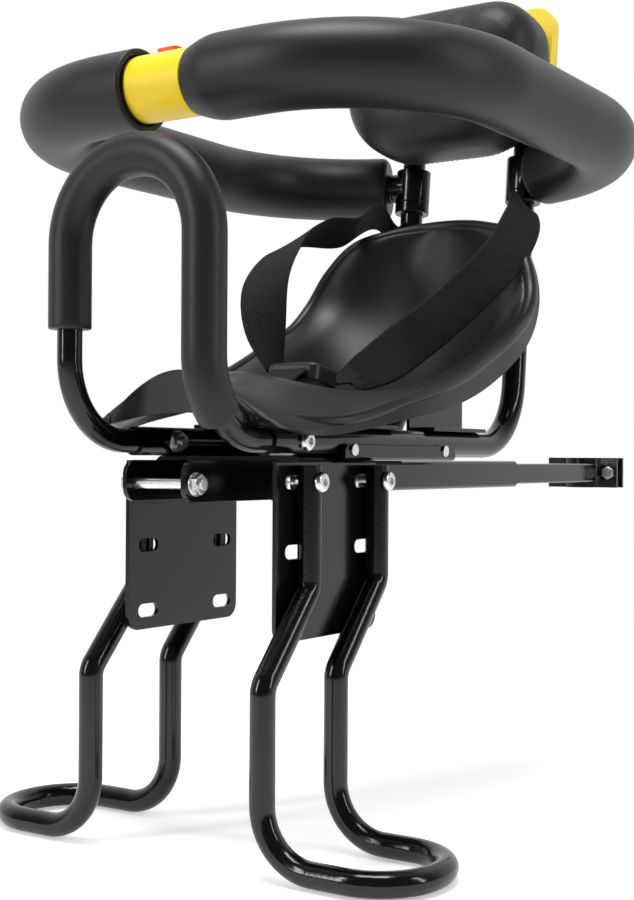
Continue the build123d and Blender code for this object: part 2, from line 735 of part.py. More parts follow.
# Hat shaped rest that stands on both seat tubes and touches the saddle at one row
def saddle_rest(row, front, rear):
    y, z = row[:2]
    normal = row_normal(SADDLE_ROWS.index(row))
    touch = Vector(0, y, z) - normal * (SHELL_T + REST_GAP)
    slope = -normal.Y / normal.Z
    low = TUBE_Z + TUBE_R
    high_front = touch.Z + slope * (front - touch.Y)
    high_rear = touch.Z + slope * (rear - touch.Y)
    outer = Polygon((front, low), (rear, low), (rear, high_rear), (front, high_front), align=None)
    lift = SHEET + 0.2
    inner = Polygon(
        (front - 9, low - 9),
        (rear + 9, low - 9),
        (rear + 9, high_rear + slope * 9 - lift),
        (front - 9, high_front - slope * 9 - lift),
        align=None,
    )
    body = along_x(outer, -REST_X, REST_X) - along_x(inner, SHEET - REST_X, REST_X - SHEET)
    foot = Pos((front + rear) / 2, low + SHEET / 2) * Rectangle(rear - front, SHEET)
    feet = along_x(foot, REST_X - SHEET, TUBE_X + TUBE_R)
    body = body + feet + other_side(feet)
    return body - rod(*saddle_bolt_line(row, 20), BOLT_R + HOLE)


# Low round head on the seat, nut under the rest
def saddle_bolt(row):
    y, z = row[:2]
    normal = row_normal(SADDLE_ROWS.index(row))
    seat = Vector(0, y, z) + normal * 2 * GAP
    body = rod(seat, seat + normal * 2.2, 7)
    body = fillet(body.edges().filter_by(GeomType.CIRCLE).sort_by(Axis.Z)[-1], 1.5)
    return body + rod(seat, seat - normal * (GAP + SHELL_T + REST_GAP + SHEET + NUT_H + 3), BOLT_R)


def saddle_nut(row):
    y, z = row[:2]
    normal = row_normal(SADDLE_ROWS.index(row))
    return flange_nut(Vector(0, y, z) - normal * (SHELL_T + REST_GAP + SHEET + 0.2 * normal.Z), -normal)


# Headrest in its own leaning plane: u across, v up along the uprights, w towards the child
HEAD_PLANE = Plane(origin=upright_point(0, CUSHION_Z), x_dir=(1, 0, 0), z_dir=(0, -cos(LEAN), sin(LEAN)))


def headrest_cushion():
    face = Rectangle(CUSHION_W, CUSHION_H)
    corners = face.vertices().sort_by(Axis.Y)
    face = fillet(corners[:2], CUSHION_LOW_R)
    corners = [v for v in face.vertices() if v.Y > CUSHION_H / 2 - 1]
    face = fillet(corners, CUSHION_TOP_R)
    body = extrude(HEAD_PLANE.offset(CUSHION_SET) * face, amount=CUSHION_D)
    body = fillet(body.edges().filter_by(lambda e: abs((e @ 0 - e @ 1).dot(HEAD_PLANE.z_dir)) < 1), CUSHION_EDGE_R)
    return body - upright_bores(TUBE_R + SLIP)


def upright_bores(radius):
    low = upright_point(1, CUSHION_Z) - UP * CUSHION_H
    bore = rod(low, upright_point(1, UPRIGHT_TOP) + UP * GAP, radius)
    return bore + other_side(bore)


def headrest_back():
    face = Pos(0, CUSHION_H / 2 + BACK_OVER - BACK_H / 2) * RectangleRounded(BACK_W, BACK_H, BACK_R)
    front = HEAD_PLANE.offset(CUSHION_SET - SLIP)
    body = extrude(front * face, amount=-BACK_T)
    body = fillet(body.faces().sort_by(Axis.Y)[-1].edges(), 4)
    return body - upright_bores(TUBE_R + SLIP)


# Harness: each station of a strap has its middle, its half width and the way its width points
LEFT_STRAP = [
    ((56.4, 324, 182), 8, (0, 0.1, 1)),
    ((56.8, 315, 185), 8, (0, 0.1, 1)),
    ((60, 300, 195), 10, (-0.55, 0.1, 0.8)),
    ((72, 275, 180), 14, (-0.7, -0.25, 0.65)),
    ((73, 243, 150), 16, (-0.4, -0.4, 0.8)),
    ((57, 214, 119), 16, (-0.3, -0.5, 0.8)),
    ((43, 172, 89), 16, (-0.35, -0.45, 0.8)),
    ((28, 144, 69), 14, (-0.7, -0.2, 0.6)),
    ((14, 134, 62.4), 11, (-1, 0, 0.2)),
    ((10, 121.9, 60.2), 9, (-1, 0, 0.2)),
]
RIGHT_STRAP = [
    ((-56.4, 324, 182), 8, (0, 0.1, 1)),
    ((-56.8, 315, 185), 8, (0, 0.1, 1)),
    ((-56, 296, 193), 9, (0.2, 0.2, 1)),
    ((-50, 240, 175), 13, (0.5, 0.4, 0.8)),
    ((-44, 183, 166), 15, (0.7, 0.35, 0.6)),
    ((-38, 139, 148), 15, (0.75, 0.45, 0.45)),
    ((-33, 112, 120), 15, (0.75, 0.5, 0.3)),
    ((-28, 106, 92), 14, (0.5, 0.8, 0.2)),
    ((-20.4, 107, 65.5), 10, (0, 1, -0.2)),
]
CROTCH_STRAP = [
    ((0, 62, 58.0), 15, (1, 0, 0)),
    ((0, 72, 58.2), 15, (1, 0, 0)),
    ((0, 83, 61.8), 14, (1, 0, 0)),
    ((0, 92.2, 66.2), 13, (1, 0, 0)),
]
BUCKLE_AT = (0, 107, 63)
BUCKLE_SIZE = (38, 28, 11)
BUCKLE_TILT = -12.0


# Flat webbing through its stations
def webbing(stations):
    faces = []
    for index, (middle, half, width_way) in enumerate(stations):
        before = Vector(*stations[max(index - 1, 0)][0])
        after = Vector(*stations[min(index + 1, len(stations) - 1)][0])
        way = (after - before).normalized()
        across = Vector(*width_way)
        across = (across - way * across.dot(way)).normalized()
        faces.append(Plane(origin=middle, x_dir=across, z_dir=way) * Rectangle(2 * half, STRAP_T))
    return loft([face.face() for face in faces])


# Band round an upright that carries a strap
def strap_loop():
    middle = upright_point(1, STRAP_LOOP_Z)
    half = UP * (STRAP_LOOP_H / 2)
    band = rod(middle - half, middle + half, TUBE_R + SLIP + STRAP_T)
    return band - rod(middle - half * 2, middle + half * 2, TUBE_R + SLIP)


def buckle():
    body = Box(*BUCKLE_SIZE)
    body = fillet(body.edges().filter_by(Axis.Z), 6)
    body = fillet(body.faces().sort_by(Axis.Z)[-1].edges(), 2.5)
    return Pos(*BUCKLE_AT) * Rot(BUCKLE_TILT, 0, 0) * body


NODES = {
    "main_bar": main_bar(),
    "left_front_arm": front_arm(),
    "right_front_arm": other_side(front_arm()),
    "fork_bolt": fork_bolt(),
    "fork_nut": fork_nut(),
    "mount_bracket": mount_bracket(),
    "left_foot_rest": foot_rest(),
    "right_foot_rest": other_side(foot_rest()),
    "foot_rest_bolts": several(foot_bolts() + [other_side(b) for b in foot_bolts()]),
    "foot_rest_nuts": several(foot_nuts() + [other_side(b) for b in foot_nuts()]),
    "extension_tube": extension_tube(),
    "clamp_front_jaw": clamp_jaw(-1),
    "clamp_rear_jaw": clamp_jaw(1),
    "clamp_bolts": several(clamp_bolts()),
    "clamp_nuts": several(clamp_nuts()),
    "bar_lock_bolt": lock_bolt(),
    "bar_lock_nut": lock_nut(),
    "seat_base_tray": seat_base_tray(),
    "tray_rivets": several(tray_rivets() + [other_side(b) for b in tray_rivets()]),
    "base_bolts": several(base_bolts()),
    "base_nuts": several(base_nuts()),
    "left_seat_tube": seat_tube(),
    "right_seat_tube": other_side(seat_tube()),
    "grab_handle": grab_handle(),
    "grab_handle_foam": grab_handle_foam(),
    "handle_bolts": both_sides(handle_bolt()),
    "handle_nuts": both_sides(handle_nut()),
    "left_hinge_sleeve": hinge_sleeve(),
    "right_hinge_sleeve": other_side(hinge_sleeve()),
    "left_stop_collar": stop_collar(),
    "right_stop_collar": other_side(stop_collar()),
    "left_guard_arm": arm_tube(LATCH_LEFT_X + GAP),
    "right_guard_arm": other_side(arm_tube(SOCKET_L + GAP - LATCH_RIGHT_X + GAP)),
    "left_guard_foam": arm_foam(LATCH_LEFT_X + GAP),
    "right_guard_foam": right_foam(),
    "latch_sleeve": latch_sleeve(),
    "latch_socket": latch_socket(),
    "latch_button": latch_button(),
    "button_spring": button_spring(),
    "saddle": saddle(),
    "saddle_front_rest": saddle_rest(FRONT_REST_ROW, FRONT_REST[0], FRONT_REST[1]),
    "saddle_rear_rest": saddle_rest(REAR_REST_ROW, REAR_REST[0], REAR_REST[1]),
    "saddle_bolts": several([saddle_bolt(FRONT_REST_ROW), saddle_bolt(REAR_REST_ROW)]),
    "saddle_nuts": several([saddle_nut(FRONT_REST_ROW), saddle_nut(REAR_REST_ROW)]),
    "headrest_cushion": headrest_cushion(),
    "headrest_back": headrest_back(),
    "left_strap": strap_loop() + webbing(LEFT_STRAP),
    "right_strap": other_side(strap_loop()) + webbing(RIGHT_STRAP),
    "crotch_strap": webbing(CROTCH_STRAP),
    "buckle": buckle(),
}

os.makedirs("parts", exist_ok=True)
for name, body in NODES.items():
    body.label = name
    export_step(body, "parts/" + name + ".step")
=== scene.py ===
import bpy
import bmesh
import math
from mathutils import Matrix, Quaternion, Vector
from mathutils.bvhtree import BVHTree


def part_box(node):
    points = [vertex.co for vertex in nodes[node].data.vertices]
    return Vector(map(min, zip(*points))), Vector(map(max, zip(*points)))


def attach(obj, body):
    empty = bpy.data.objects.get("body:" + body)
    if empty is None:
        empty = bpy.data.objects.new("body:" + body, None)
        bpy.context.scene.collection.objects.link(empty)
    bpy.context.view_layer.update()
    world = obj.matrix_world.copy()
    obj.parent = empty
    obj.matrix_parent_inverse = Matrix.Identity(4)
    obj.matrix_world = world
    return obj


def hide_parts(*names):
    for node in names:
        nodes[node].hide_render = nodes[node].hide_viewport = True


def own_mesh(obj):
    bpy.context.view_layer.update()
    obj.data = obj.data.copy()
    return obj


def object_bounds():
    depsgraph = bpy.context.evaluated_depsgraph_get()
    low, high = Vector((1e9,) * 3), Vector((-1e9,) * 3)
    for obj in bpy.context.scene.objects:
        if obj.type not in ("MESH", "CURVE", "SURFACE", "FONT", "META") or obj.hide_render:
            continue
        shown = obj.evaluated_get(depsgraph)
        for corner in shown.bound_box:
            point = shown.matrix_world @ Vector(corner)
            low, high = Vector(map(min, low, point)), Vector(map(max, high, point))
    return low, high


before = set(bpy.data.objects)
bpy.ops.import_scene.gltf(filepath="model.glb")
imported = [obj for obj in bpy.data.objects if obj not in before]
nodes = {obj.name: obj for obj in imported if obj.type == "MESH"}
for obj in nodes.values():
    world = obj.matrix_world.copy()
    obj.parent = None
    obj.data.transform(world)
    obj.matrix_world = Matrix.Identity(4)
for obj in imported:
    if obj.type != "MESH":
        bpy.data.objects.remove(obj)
cad_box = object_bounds()
scene = bpy.context.scene

# Sizes and places are in millimetres and are multiplied by MM; shaders, floor and lamps use metres
MM = 0.001
FIXED = "seat_frame"

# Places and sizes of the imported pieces
TUBE_X = 47.0
TUBE_R = 8.5
TUBE_Z = 21.0
LEAN = math.radians(6.0)
UPRIGHT_FOOT_Y = 308.0
RING_Z = 220.7
RING_HALF_W = 147.6
RING_FRONT = -14.5
RING_FRONT_R = 93.9
RING_FOAM_R = 23.7
ARM_TURN = math.radians(20.0)
FOAM_START = 18.5
HANDLE_Y = -54.0
HANDLE_TOP = 174.0
HANDLE_TOP_R = 45.5
HANDLE_LOW_R = 45.0
HANDLE_FOAM_R = 12.0
HANDLE_FOAM_RIGHT_END = 82.0
HANDLE_FOAM_TURN = math.radians(45.0)
LATCH_LEFT_X = 12.0
LATCH_RIGHT_X = -28.0
LATCH_GAP = 0.3
CUSHION_Z = 282.0
STRAP_T = 1.6
STRAP_LOOP_Z = 181.0
STRAP_LOOP_H = 18.0


def point(x, y, z):
    return Vector((x, y, z)) * MM


def upright_y(z):
    return UPRIGHT_FOOT_Y + (z - TUBE_Z) * math.tan(LEAN)


UP_ALONG = Vector((0, math.sin(LEAN), math.cos(LEAN)))


# Shader node helpers

def wire(tree, source, target):
    tree.links.new(source, target)


def shader_group(name, inputs, outputs):
    tree = bpy.data.node_groups.new(name, "ShaderNodeTree")
    for label, kind, value in inputs:
        socket = tree.interface.new_socket(name=label, in_out="INPUT", socket_type=kind)
        socket.default_value = value
    for label, kind in outputs:
        tree.interface.new_socket(name=label, in_out="OUTPUT", socket_type=kind)
    return tree, tree.nodes.new("NodeGroupInput"), tree.nodes.new("NodeGroupOutput")


def math_node(tree, kind, first, second=None):
    node = tree.nodes.new("ShaderNodeMath")
    node.operation = kind
    for socket, value in zip(node.inputs, (first, second)):
        if value is None:
            continue
        if isinstance(value, (int, float)):
            socket.default_value = value
        else:
            wire(tree, value, socket)
    return node.outputs[0]


FLOAT = "NodeSocketFloat"
COLOUR = "NodeSocketColor"
GRAIN_DETAIL = 3.0
PATCH_DETAIL = 5.0
PATCH_ROUGHNESS = 0.6
CLOUD_DETAIL = 6.0
CLOUD_ROUGHNESS = 0.65
CLOUD_CLEAR = 0.45
CLOUD_FULL = 0.8
CREASE_WIDTH = 0.22


# Fine skin of a moulded or painted surface, as a height
def make_skin_grain():
    inputs = [("Scale", FLOAT, 600.0), ("Roughening", FLOAT, 0.5)]
    tree, given, result = shader_group("skin grain", inputs, [("Height", FLOAT)])
    place = tree.nodes.new("ShaderNodeTexCoord")
    grain = tree.nodes.new("ShaderNodeTexNoise")
    grain.inputs["Detail"].default_value = GRAIN_DETAIL
    wire(tree, place.outputs["Object"], grain.inputs["Vector"])
    wire(tree, given.outputs["Scale"], grain.inputs["Scale"])
    wire(tree, given.outputs["Roughening"], grain.inputs["Roughness"])
    wire(tree, grain.outputs["Fac"], result.inputs["Height"])
    return tree


# Handling: soft patches that are a little duller or brighter than the rest
def make_handling():
    inputs = [("Roughness", FLOAT, 0.4), ("Spread", FLOAT, 0.1), ("Scale", FLOAT, 25.0)]
    tree, given, result = shader_group("handling marks", inputs, [("Roughness", FLOAT)])
    place = tree.nodes.new("ShaderNodeTexCoord")
    patches = tree.nodes.new("ShaderNodeTexNoise")
    patches.inputs["Detail"].default_value = PATCH_DETAIL
    patches.inputs["Roughness"].default_value = PATCH_ROUGHNESS
    wire(tree, place.outputs["Object"], patches.inputs["Vector"])
    wire(tree, given.outputs["Scale"], patches.inputs["Scale"])
    centred = math_node(tree, "SUBTRACT", patches.outputs["Fac"], 0.5)
    spread = math_node(tree, "MULTIPLY", centred, given.outputs["Spread"])
    total = math_node(tree, "ADD", spread, given.outputs["Roughness"])
    wire(tree, total, result.inputs["Roughness"])
    return tree


# Tone: the colour drifts between two near values, as dye and dust make it do
def make_tone():
    inputs = [("Colour", COLOUR, (0.02, 0.02, 0.02, 1)), ("Dusty", COLOUR, (0.04, 0.04, 0.04, 1)),
              ("Scale", FLOAT, 30.0)]
    tree, given, result = shader_group("tone drift", inputs, [("Colour", COLOUR)])
    place = tree.nodes.new("ShaderNodeTexCoord")
    cloud = tree.nodes.new("ShaderNodeTexNoise")
    cloud.inputs["Detail"].default_value = CLOUD_DETAIL
    cloud.inputs["Roughness"].default_value = CLOUD_ROUGHNESS
    wire(tree, place.outputs["Object"], cloud.inputs["Vector"])
    wire(tree, given.outputs["Scale"], cloud.inputs["Scale"])
    ramp = tree.nodes.new("ShaderNodeMapRange")
    ramp.inputs["From Min"].default_value = CLOUD_CLEAR
    ramp.inputs["From Max"].default_value = CLOUD_FULL
    wire(tree, cloud.outputs["Fac"], ramp.inputs["Value"])
    mix = tree.nodes.new("ShaderNodeMix")
    mix.data_type = "RGBA"
    wire(tree, ramp.outputs["Result"], mix.inputs["Factor"])
    wire(tree, given.outputs["Colour"], mix.inputs["A"])
    wire(tree, given.outputs["Dusty"], mix.inputs["B"])
    wire(tree, mix.outputs["Result"], result.inputs["Colour"])
    return tree


# Leather cells with creases between them
def make_hide():
    inputs = [("Scale", FLOAT, 700.0)]
    tree, given, result = shader_group("hide cells", inputs, [("Height", FLOAT)])
    place = tree.nodes.new("ShaderNodeTexCoord")
    cells = tree.nodes.new("ShaderNodeTexVoronoi")
    cells.feature = "DISTANCE_TO_EDGE"
    wire(tree, place.outputs["Object"], cells.inputs["Vector"])
    wire(tree, given.outputs["Scale"], cells.inputs["Scale"])
    crease = tree.nodes.new("ShaderNodeMapRange")
    crease.inputs["From Max"].default_value = CREASE_WIDTH
    wire(tree, cells.outputs["Distance"], crease.inputs["Value"])
    wire(tree, crease.outputs["Result"], result.inputs["Height"])
    return tree


# Woven band: the UV map runs along and across the band in metres
def make_weave():
    inputs = [("Along", FLOAT, 0.0022), ("Across", FLOAT, 0.0014)]
    tree, given, result = shader_group("band weave", inputs, [("Height", FLOAT)])
    uv = tree.nodes.new("ShaderNodeUVMap")
    uv.uv_map = "band"
    split = tree.nodes.new("ShaderNodeSeparateXYZ")
    wire(tree, uv.outputs["UV"], split.inputs["Vector"])
    rows = math_node(tree, "DIVIDE", split.outputs["Y"], given.outputs["Across"])
    runs = math_node(tree, "DIVIDE", split.outputs["X"], given.outputs["Along"])
    row = math_node(tree, "FLOOR", rows)
    offset = math_node(tree, "MULTIPLY", row, 0.5)
    shifted = math_node(tree, "ADD", runs, offset)
    waves = []
    for place in (rows, shifted):
        turn = math_node(tree, "MULTIPLY", math_node(tree, "FRACT", place), math.pi)
        waves.append(math_node(tree, "SINE", turn))
    wire(tree, math_node(tree, "MULTIPLY", *waves), result.inputs["Height"])
    return tree


skin_grain = make_skin_grain()
handling = make_handling()
tone = make_tone()
hide = make_hide()
weave = make_weave()


def place_group(tree, group, **values):
    node = tree.nodes.new("ShaderNodeGroup")
    node.node_tree = group
    for label, value in values.items():
        node.inputs[label].default_value = value
    return node


def grey(value):
    return (value, value, value, 1.0)


# A finish: tone for its colour and handling for its gloss; each finish adds its own bump
def finish_material(name, colour, dusty, roughness, spread, tone_scale=30.0):
    material = bpy.data.materials.new(name)
    material.use_nodes = True
    tree = material.node_tree
    surface = tree.nodes["Principled BSDF"]
    tint = place_group(tree, tone, Colour=colour, Dusty=dusty, Scale=tone_scale)
    wire(tree, tint.outputs["Colour"], surface.inputs["Base Color"])
    rub = place_group(tree, handling, Roughness=roughness, Spread=spread)
    wire(tree, rub.outputs["Roughness"], surface.inputs["Roughness"])
    return material, tree, surface


def add_bump(tree, surface, height, strength, distance):
    bump = tree.nodes.new("ShaderNodeBump")
    bump.inputs["Strength"].default_value = strength
    bump.inputs["Distance"].default_value = distance
    wire(tree, height, bump.inputs["Height"])
    wire(tree, bump.outputs["Normal"], surface.inputs["Normal"])


# Bump from the skin grain
def add_grain(tree, surface, scale, roughening, strength, distance):
    grain = place_group(tree, skin_grain, Scale=scale, Roughening=roughening)
    add_bump(tree, surface, grain.outputs["Height"], strength, distance)


def make_painted_black():
    material, tree, surface = finish_material(
        "painted_black", colour=grey(0.003), dusty=grey(0.005), roughness=0.15, spread=0.08)
    surface.inputs["Specular IOR Level"].default_value = 0.42
    add_grain(tree, surface, scale=420.0, roughening=0.35, strength=0.12, distance=0.0004)
    return material


def make_zinc():
    material, tree, surface = finish_material(
        "zinc", colour=grey(0.74), dusty=(0.60, 0.61, 0.63, 1), roughness=0.26, spread=0.18,
        tone_scale=160.0)
    surface.inputs["Metallic"].default_value = 1.0
    add_grain(tree, surface, scale=900.0, roughening=0.6, strength=0.12, distance=0.0002)
    return material


def make_foam_black():
    material, tree, surface = finish_material(
        "foam_black", colour=grey(0.007), dusty=grey(0.011), roughness=0.44, spread=0.10)
    surface.inputs["Specular IOR Level"].default_value = 0.34
    surface.inputs["Sheen Weight"].default_value = 0.02
    surface.inputs["Sheen Roughness"].default_value = 0.5
    add_grain(tree, surface, scale=1500.0, roughening=0.7, strength=0.18, distance=0.0003)
    return material


def make_saddle_black():
    material, tree, surface = finish_material(
        "saddle_black", colour=grey(0.007), dusty=grey(0.011), roughness=0.40, spread=0.08)
    surface.inputs["Specular IOR Level"].default_value = 0.42
    add_grain(tree, surface, scale=1100.0, roughening=0.55, strength=0.12, distance=0.0003)
    return material


def make_cushion_black():
    material, tree, surface = finish_material(
        "cushion_black", colour=grey(0.008), dusty=grey(0.013), roughness=0.42, spread=0.12)
    surface.inputs["Specular IOR Level"].default_value = 0.36
    cells = place_group(tree, hide, Scale=620.0)
    add_bump(tree, surface, cells.outputs["Height"], strength=0.22, distance=0.0003)
    return material


def make_latch_yellow():
    material, tree, surface = finish_material(
        "latch_yellow", colour=(0.96, 0.68, 0.002, 1), dusty=(0.95, 0.65, 0.004, 1),
        roughness=0.36, spread=0.1)
    add_grain(tree, surface, scale=1300.0, roughening=0.5, strength=0.1, distance=0.0002)
    return material


def make_button_red():
    material, tree, surface = finish_material(
        "button_red", colour=(0.78, 0.065, 0.02, 1), dusty=(0.72, 0.06, 0.02, 1),
        roughness=0.34, spread=0.1)
    add_grain(tree, surface, scale=1300.0, roughening=0.5, strength=0.1, distance=0.0002)
    return material


def make_webbing_black():
    material, tree, surface = finish_material(
        "webbing_black", colour=grey(0.004), dusty=grey(0.008), roughness=0.72, spread=0.15,
        tone_scale=90.0)
    surface.inputs["Specular IOR Level"].default_value = 0.25
    surface.inputs["Sheen Weight"].default_value = 0.03
    surface.inputs["Sheen Roughness"].default_value = 0.4
    cloth = place_group(tree, weave)
    add_bump(tree, surface, cloth.outputs["Height"], strength=0.55, distance=0.0005)
    return material


def make_buckle_black():
    material, tree, surface = finish_material(
        "buckle_black", colour=grey(0.010), dusty=grey(0.018), roughness=0.38, spread=0.1)
    add_grain(tree, surface, scale=1400.0, roughening=0.6, strength=0.2, distance=0.0003)
    return material


painted_black = make_painted_black()
zinc = make_zinc()
foam_black = make_foam_black()
saddle_black = make_saddle_black()
cushion_black = make_cushion_black()
latch_yellow = make_latch_yellow()
button_red = make_button_red()
webbing_black = make_webbing_black()
buckle_black = make_buckle_black()


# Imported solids: welded, with small rounded edges and their finish
WELD_REACH = 0.01
FLAT_ANGLE = math.radians(0.4)
EDGE_ANGLE = math.radians(38)
EDGE_STEPS = 2
SHADING_WEIGHT = 60


def dress(name, material, edge):
    piece = nodes[name]
    piece.data.materials.clear()
    piece.data.materials.append(material)
    piece.data.polygons.foreach_set("use_smooth", [True] * len(piece.data.polygons))
    weld = piece.modifiers.new("weld", "WELD")
    weld.merge_threshold = WELD_REACH * MM
    flat = piece.modifiers.new("flats", "DECIMATE")
    flat.decimate_type = "DISSOLVE"
    flat.angle_limit = FLAT_ANGLE
    rounding = piece.modifiers.new("edges", "BEVEL")
    rounding.width = edge * MM
    rounding.segments = EDGE_STEPS
    rounding.limit_method = "ANGLE"
    rounding.angle_limit = EDGE_ANGLE
    shading = piece.modifiers.new("shading", "WEIGHTED_NORMAL")
    shading.weight = SHADING_WEIGHT
    shading.keep_sharp = True


# A new piece on a body, with its finish and the solids that it stands for
def add_piece(name, mesh, material, body, stands_for=()):
    piece = bpy.data.objects.new(name, mesh)
    scene.collection.objects.link(piece)
    mesh.materials.clear()
    mesh.materials.append(material)
    mesh.polygons.foreach_set("use_smooth", [True] * len(mesh.polygons))
    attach(piece, body)
    if stands_for:
        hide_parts(*stands_for)
    return piece


def to_mesh(shape, name):
    bmesh.ops.recalc_face_normals(shape, faces=shape.faces)
    mesh = bpy.data.meshes.new(name)
    shape.to_mesh(mesh)
    shape.free()
    return mesh


# The evaluated result of an object's modifiers as a plain mesh
def settled(piece):
    ready = piece.evaluated_get(bpy.context.evaluated_depsgraph_get())
    return bpy.data.meshes.new_from_object(ready)


# Lines made of straight runs with a round bend at each inner corner
BEND_STEP = math.radians(3.0)


def route(corners, bends):
    line = [corners[0]]
    for before, corner, after, bend in zip(corners, corners[1:], corners[2:], bends):
        back = (before - corner).normalized()
        ahead = (after - corner).normalized()
        turn = math.pi - back.angle(ahead)
        centre = corner + (back + ahead).normalized() * (bend / math.cos(turn / 2))
        spoke = corner + back * (bend * math.tan(turn / 2)) - centre
        pivot = ahead.cross(back).normalized()
        steps = math.ceil(turn / BEND_STEP)
        line.extend(centre + Quaternion(pivot, turn * k / steps) @ spoke for k in range(steps + 1))
    line.append(corners[-1])
    return line


def line_length(line):
    return sum((b - a).length for a, b in zip(line, line[1:]))


# The point at a distance along a line
def point_along(line, distance):
    left = distance
    for a, b in zip(line, line[1:]):
        step = (b - a).length
        if left <= step and step > 0:
            return a + (b - a) * (left / step)
        left -= step
    return line[-1] + (line[-1] - line[-2]).normalized() * left


# The way a line points, taken over a millimetre to either side
def way_along(line, distance):
    ends = (max(distance - MM, 0), min(distance + MM, line_length(line)))
    return (point_along(line, ends[1]) - point_along(line, ends[0])).normalized()


# Round sleeve: rings of a radius at a distance along a line, closed at both ends
SLEEVE_SIDES = 56
RING_STEP = 4.0


def sleeve_mesh(name, line, rings, sides=SLEEVE_SIDES):
    shape = bmesh.new()
    normal = way_along(line, rings[0][0]).orthogonal()
    loops = []
    for distance, radius in rings:
        middle = point_along(line, distance)
        way = way_along(line, distance)
        normal = (normal - way * normal.dot(way)).normalized()
        side = way.cross(normal)
        loop = []
        for k in range(sides):
            turn = 2 * math.pi * k / sides
            out = normal * math.cos(turn) + side * math.sin(turn)
            loop.append(shape.verts.new(middle + out * radius))
        loops.append(loop)
    for first, second in zip(loops, loops[1:]):
        for k in range(sides):
            n = (k + 1) % sides
            shape.faces.new((first[k], first[n], second[n], second[k]))
    shape.faces.new(loops[0])
    shape.faces.new(loops[-1])
    return to_mesh(shape, name)


# Rings of one radius from start to end, a step apart at most
def plain_rings(start, end, radius, step=RING_STEP * MM):
    count = max(2, math.ceil((end - start) / step))
    return [(start + (end - start) * k / count, radius) for k in range(count + 1)]


# Foam on the guard arms
REAR_STRAIGHT = 2.0
HINGE_END_CORNER = 5.0
HINGE_END_STEPS = 5
ARM_R = 11.4
DOME_LENGTH = 19.0
DOME_START_R = 19.3
WAIST_AT = 62.0
WAIST_WIDTH = 30.0
WAIST_DEPTH = 0.35
SHAPED_END = 120.0
SHAPED_STEPS = 60


# Line of an arm's foam from its hinge to the latch, with a short straight run before the rear bend
def arm_line(side, end_x):
    hinge = point(side * TUBE_X, upright_y(RING_Z), RING_Z)
    out = Vector((side * math.cos(ARM_TURN), -math.sin(ARM_TURN), 0))
    run = (RING_HALF_W - TUBE_X) / math.cos(ARM_TURN)
    corners = [
        hinge + out * FOAM_START * MM,
        hinge + out * run * MM,
        point(side * RING_HALF_W, RING_FRONT, RING_Z),
        point(end_x, RING_FRONT, RING_Z),
    ]
    rear_r = (run - FOAM_START - REAR_STRAIGHT) * MM / math.tan((math.pi / 2 - ARM_TURN) / 2)
    return route(corners, [rear_r, RING_FRONT_R * MM])


# Rings of the rounded end next to the hinge
def hinge_end_rings(radius):
    corner = HINGE_END_CORNER * MM
    rings = [(0.0, ARM_R * MM)]
    for k in range(HINGE_END_STEPS + 1):
        turn = math.pi / 2 * k / HINGE_END_STEPS
        rings.append((corner * (1 - math.cos(turn)), radius - corner * (1 - math.sin(turn))))
    return rings


# The left sleeve swells from the latch's radius to its own, then has a slight waist
def left_dome_radius(distance):
    rise = math.sin(math.pi / 2 * min(1.0, distance / DOME_LENGTH))
    waist = WAIST_DEPTH * math.exp(-((distance - WAIST_AT) / WAIST_WIDTH) ** 2)
    return DOME_START_R + (RING_FOAM_R - DOME_START_R) * rise - waist


def make_left_guard_foam():
    line = arm_line(1, LATCH_LEFT_X + LATCH_GAP)
    long = line_length(line)
    radius = RING_FOAM_R * MM
    shaped = SHAPED_END * MM
    rings = hinge_end_rings(radius)
    rings += plain_rings(HINGE_END_CORNER * MM + RING_STEP * MM, long - shaped, radius)
    for k in range(1, SHAPED_STEPS + 1):
        distance = shaped * (1 - k / SHAPED_STEPS)
        rings.append((long - distance, left_dome_radius(distance / MM) * MM))
    rings.append((long, ARM_R * MM))
    mesh = sleeve_mesh("left_guard_sleeve", line, rings)
    piece = add_piece("left_guard_sleeve", mesh, foam_black, "left_guard",
                      ["left_guard_foam"])


CUP_R = 19.5
CUP_DEPTH = 12.0
CUP_CORNER = 1.2
CUP_CORNER_STEPS = 4
CUP_END = 3.0


# The right sleeve ends in a cup round the latch socket
def make_right_guard_foam():
    line = arm_line(-1, LATCH_RIGHT_X - LATCH_GAP)
    long = line_length(line)
    radius = RING_FOAM_R * MM
    rings = hinge_end_rings(radius)
    rings += plain_rings(HINGE_END_CORNER * MM + RING_STEP * MM, long - CUP_END * MM, radius)
    corner = CUP_CORNER * MM
    for k in range(CUP_CORNER_STEPS + 1):
        turn = math.pi / 2 * k / CUP_CORNER_STEPS
        rings.append((long - corner * (1 - math.sin(turn)), radius - corner * (1 - math.cos(turn))))
    rings.append((long, (CUP_R + CUP_CORNER) * MM))
    rings.append((long - CUP_CORNER * MM, CUP_R * MM))
    rings.append((long - CUP_DEPTH * MM, CUP_R * MM))
    mesh = sleeve_mesh("right_guard_sleeve", line, rings)
    piece = add_piece("right_guard_sleeve", mesh, foam_black, "right_guard",
                      ["right_guard_foam"])


# Foam on the grab handle, cut square at both ends with a slightly eased edge
HANDLE_BORE_R = 7.2
HANDLE_END_CORNER = 1.0
HANDLE_EASE = 0.3
HANDLE_RING_STEP = 3.0


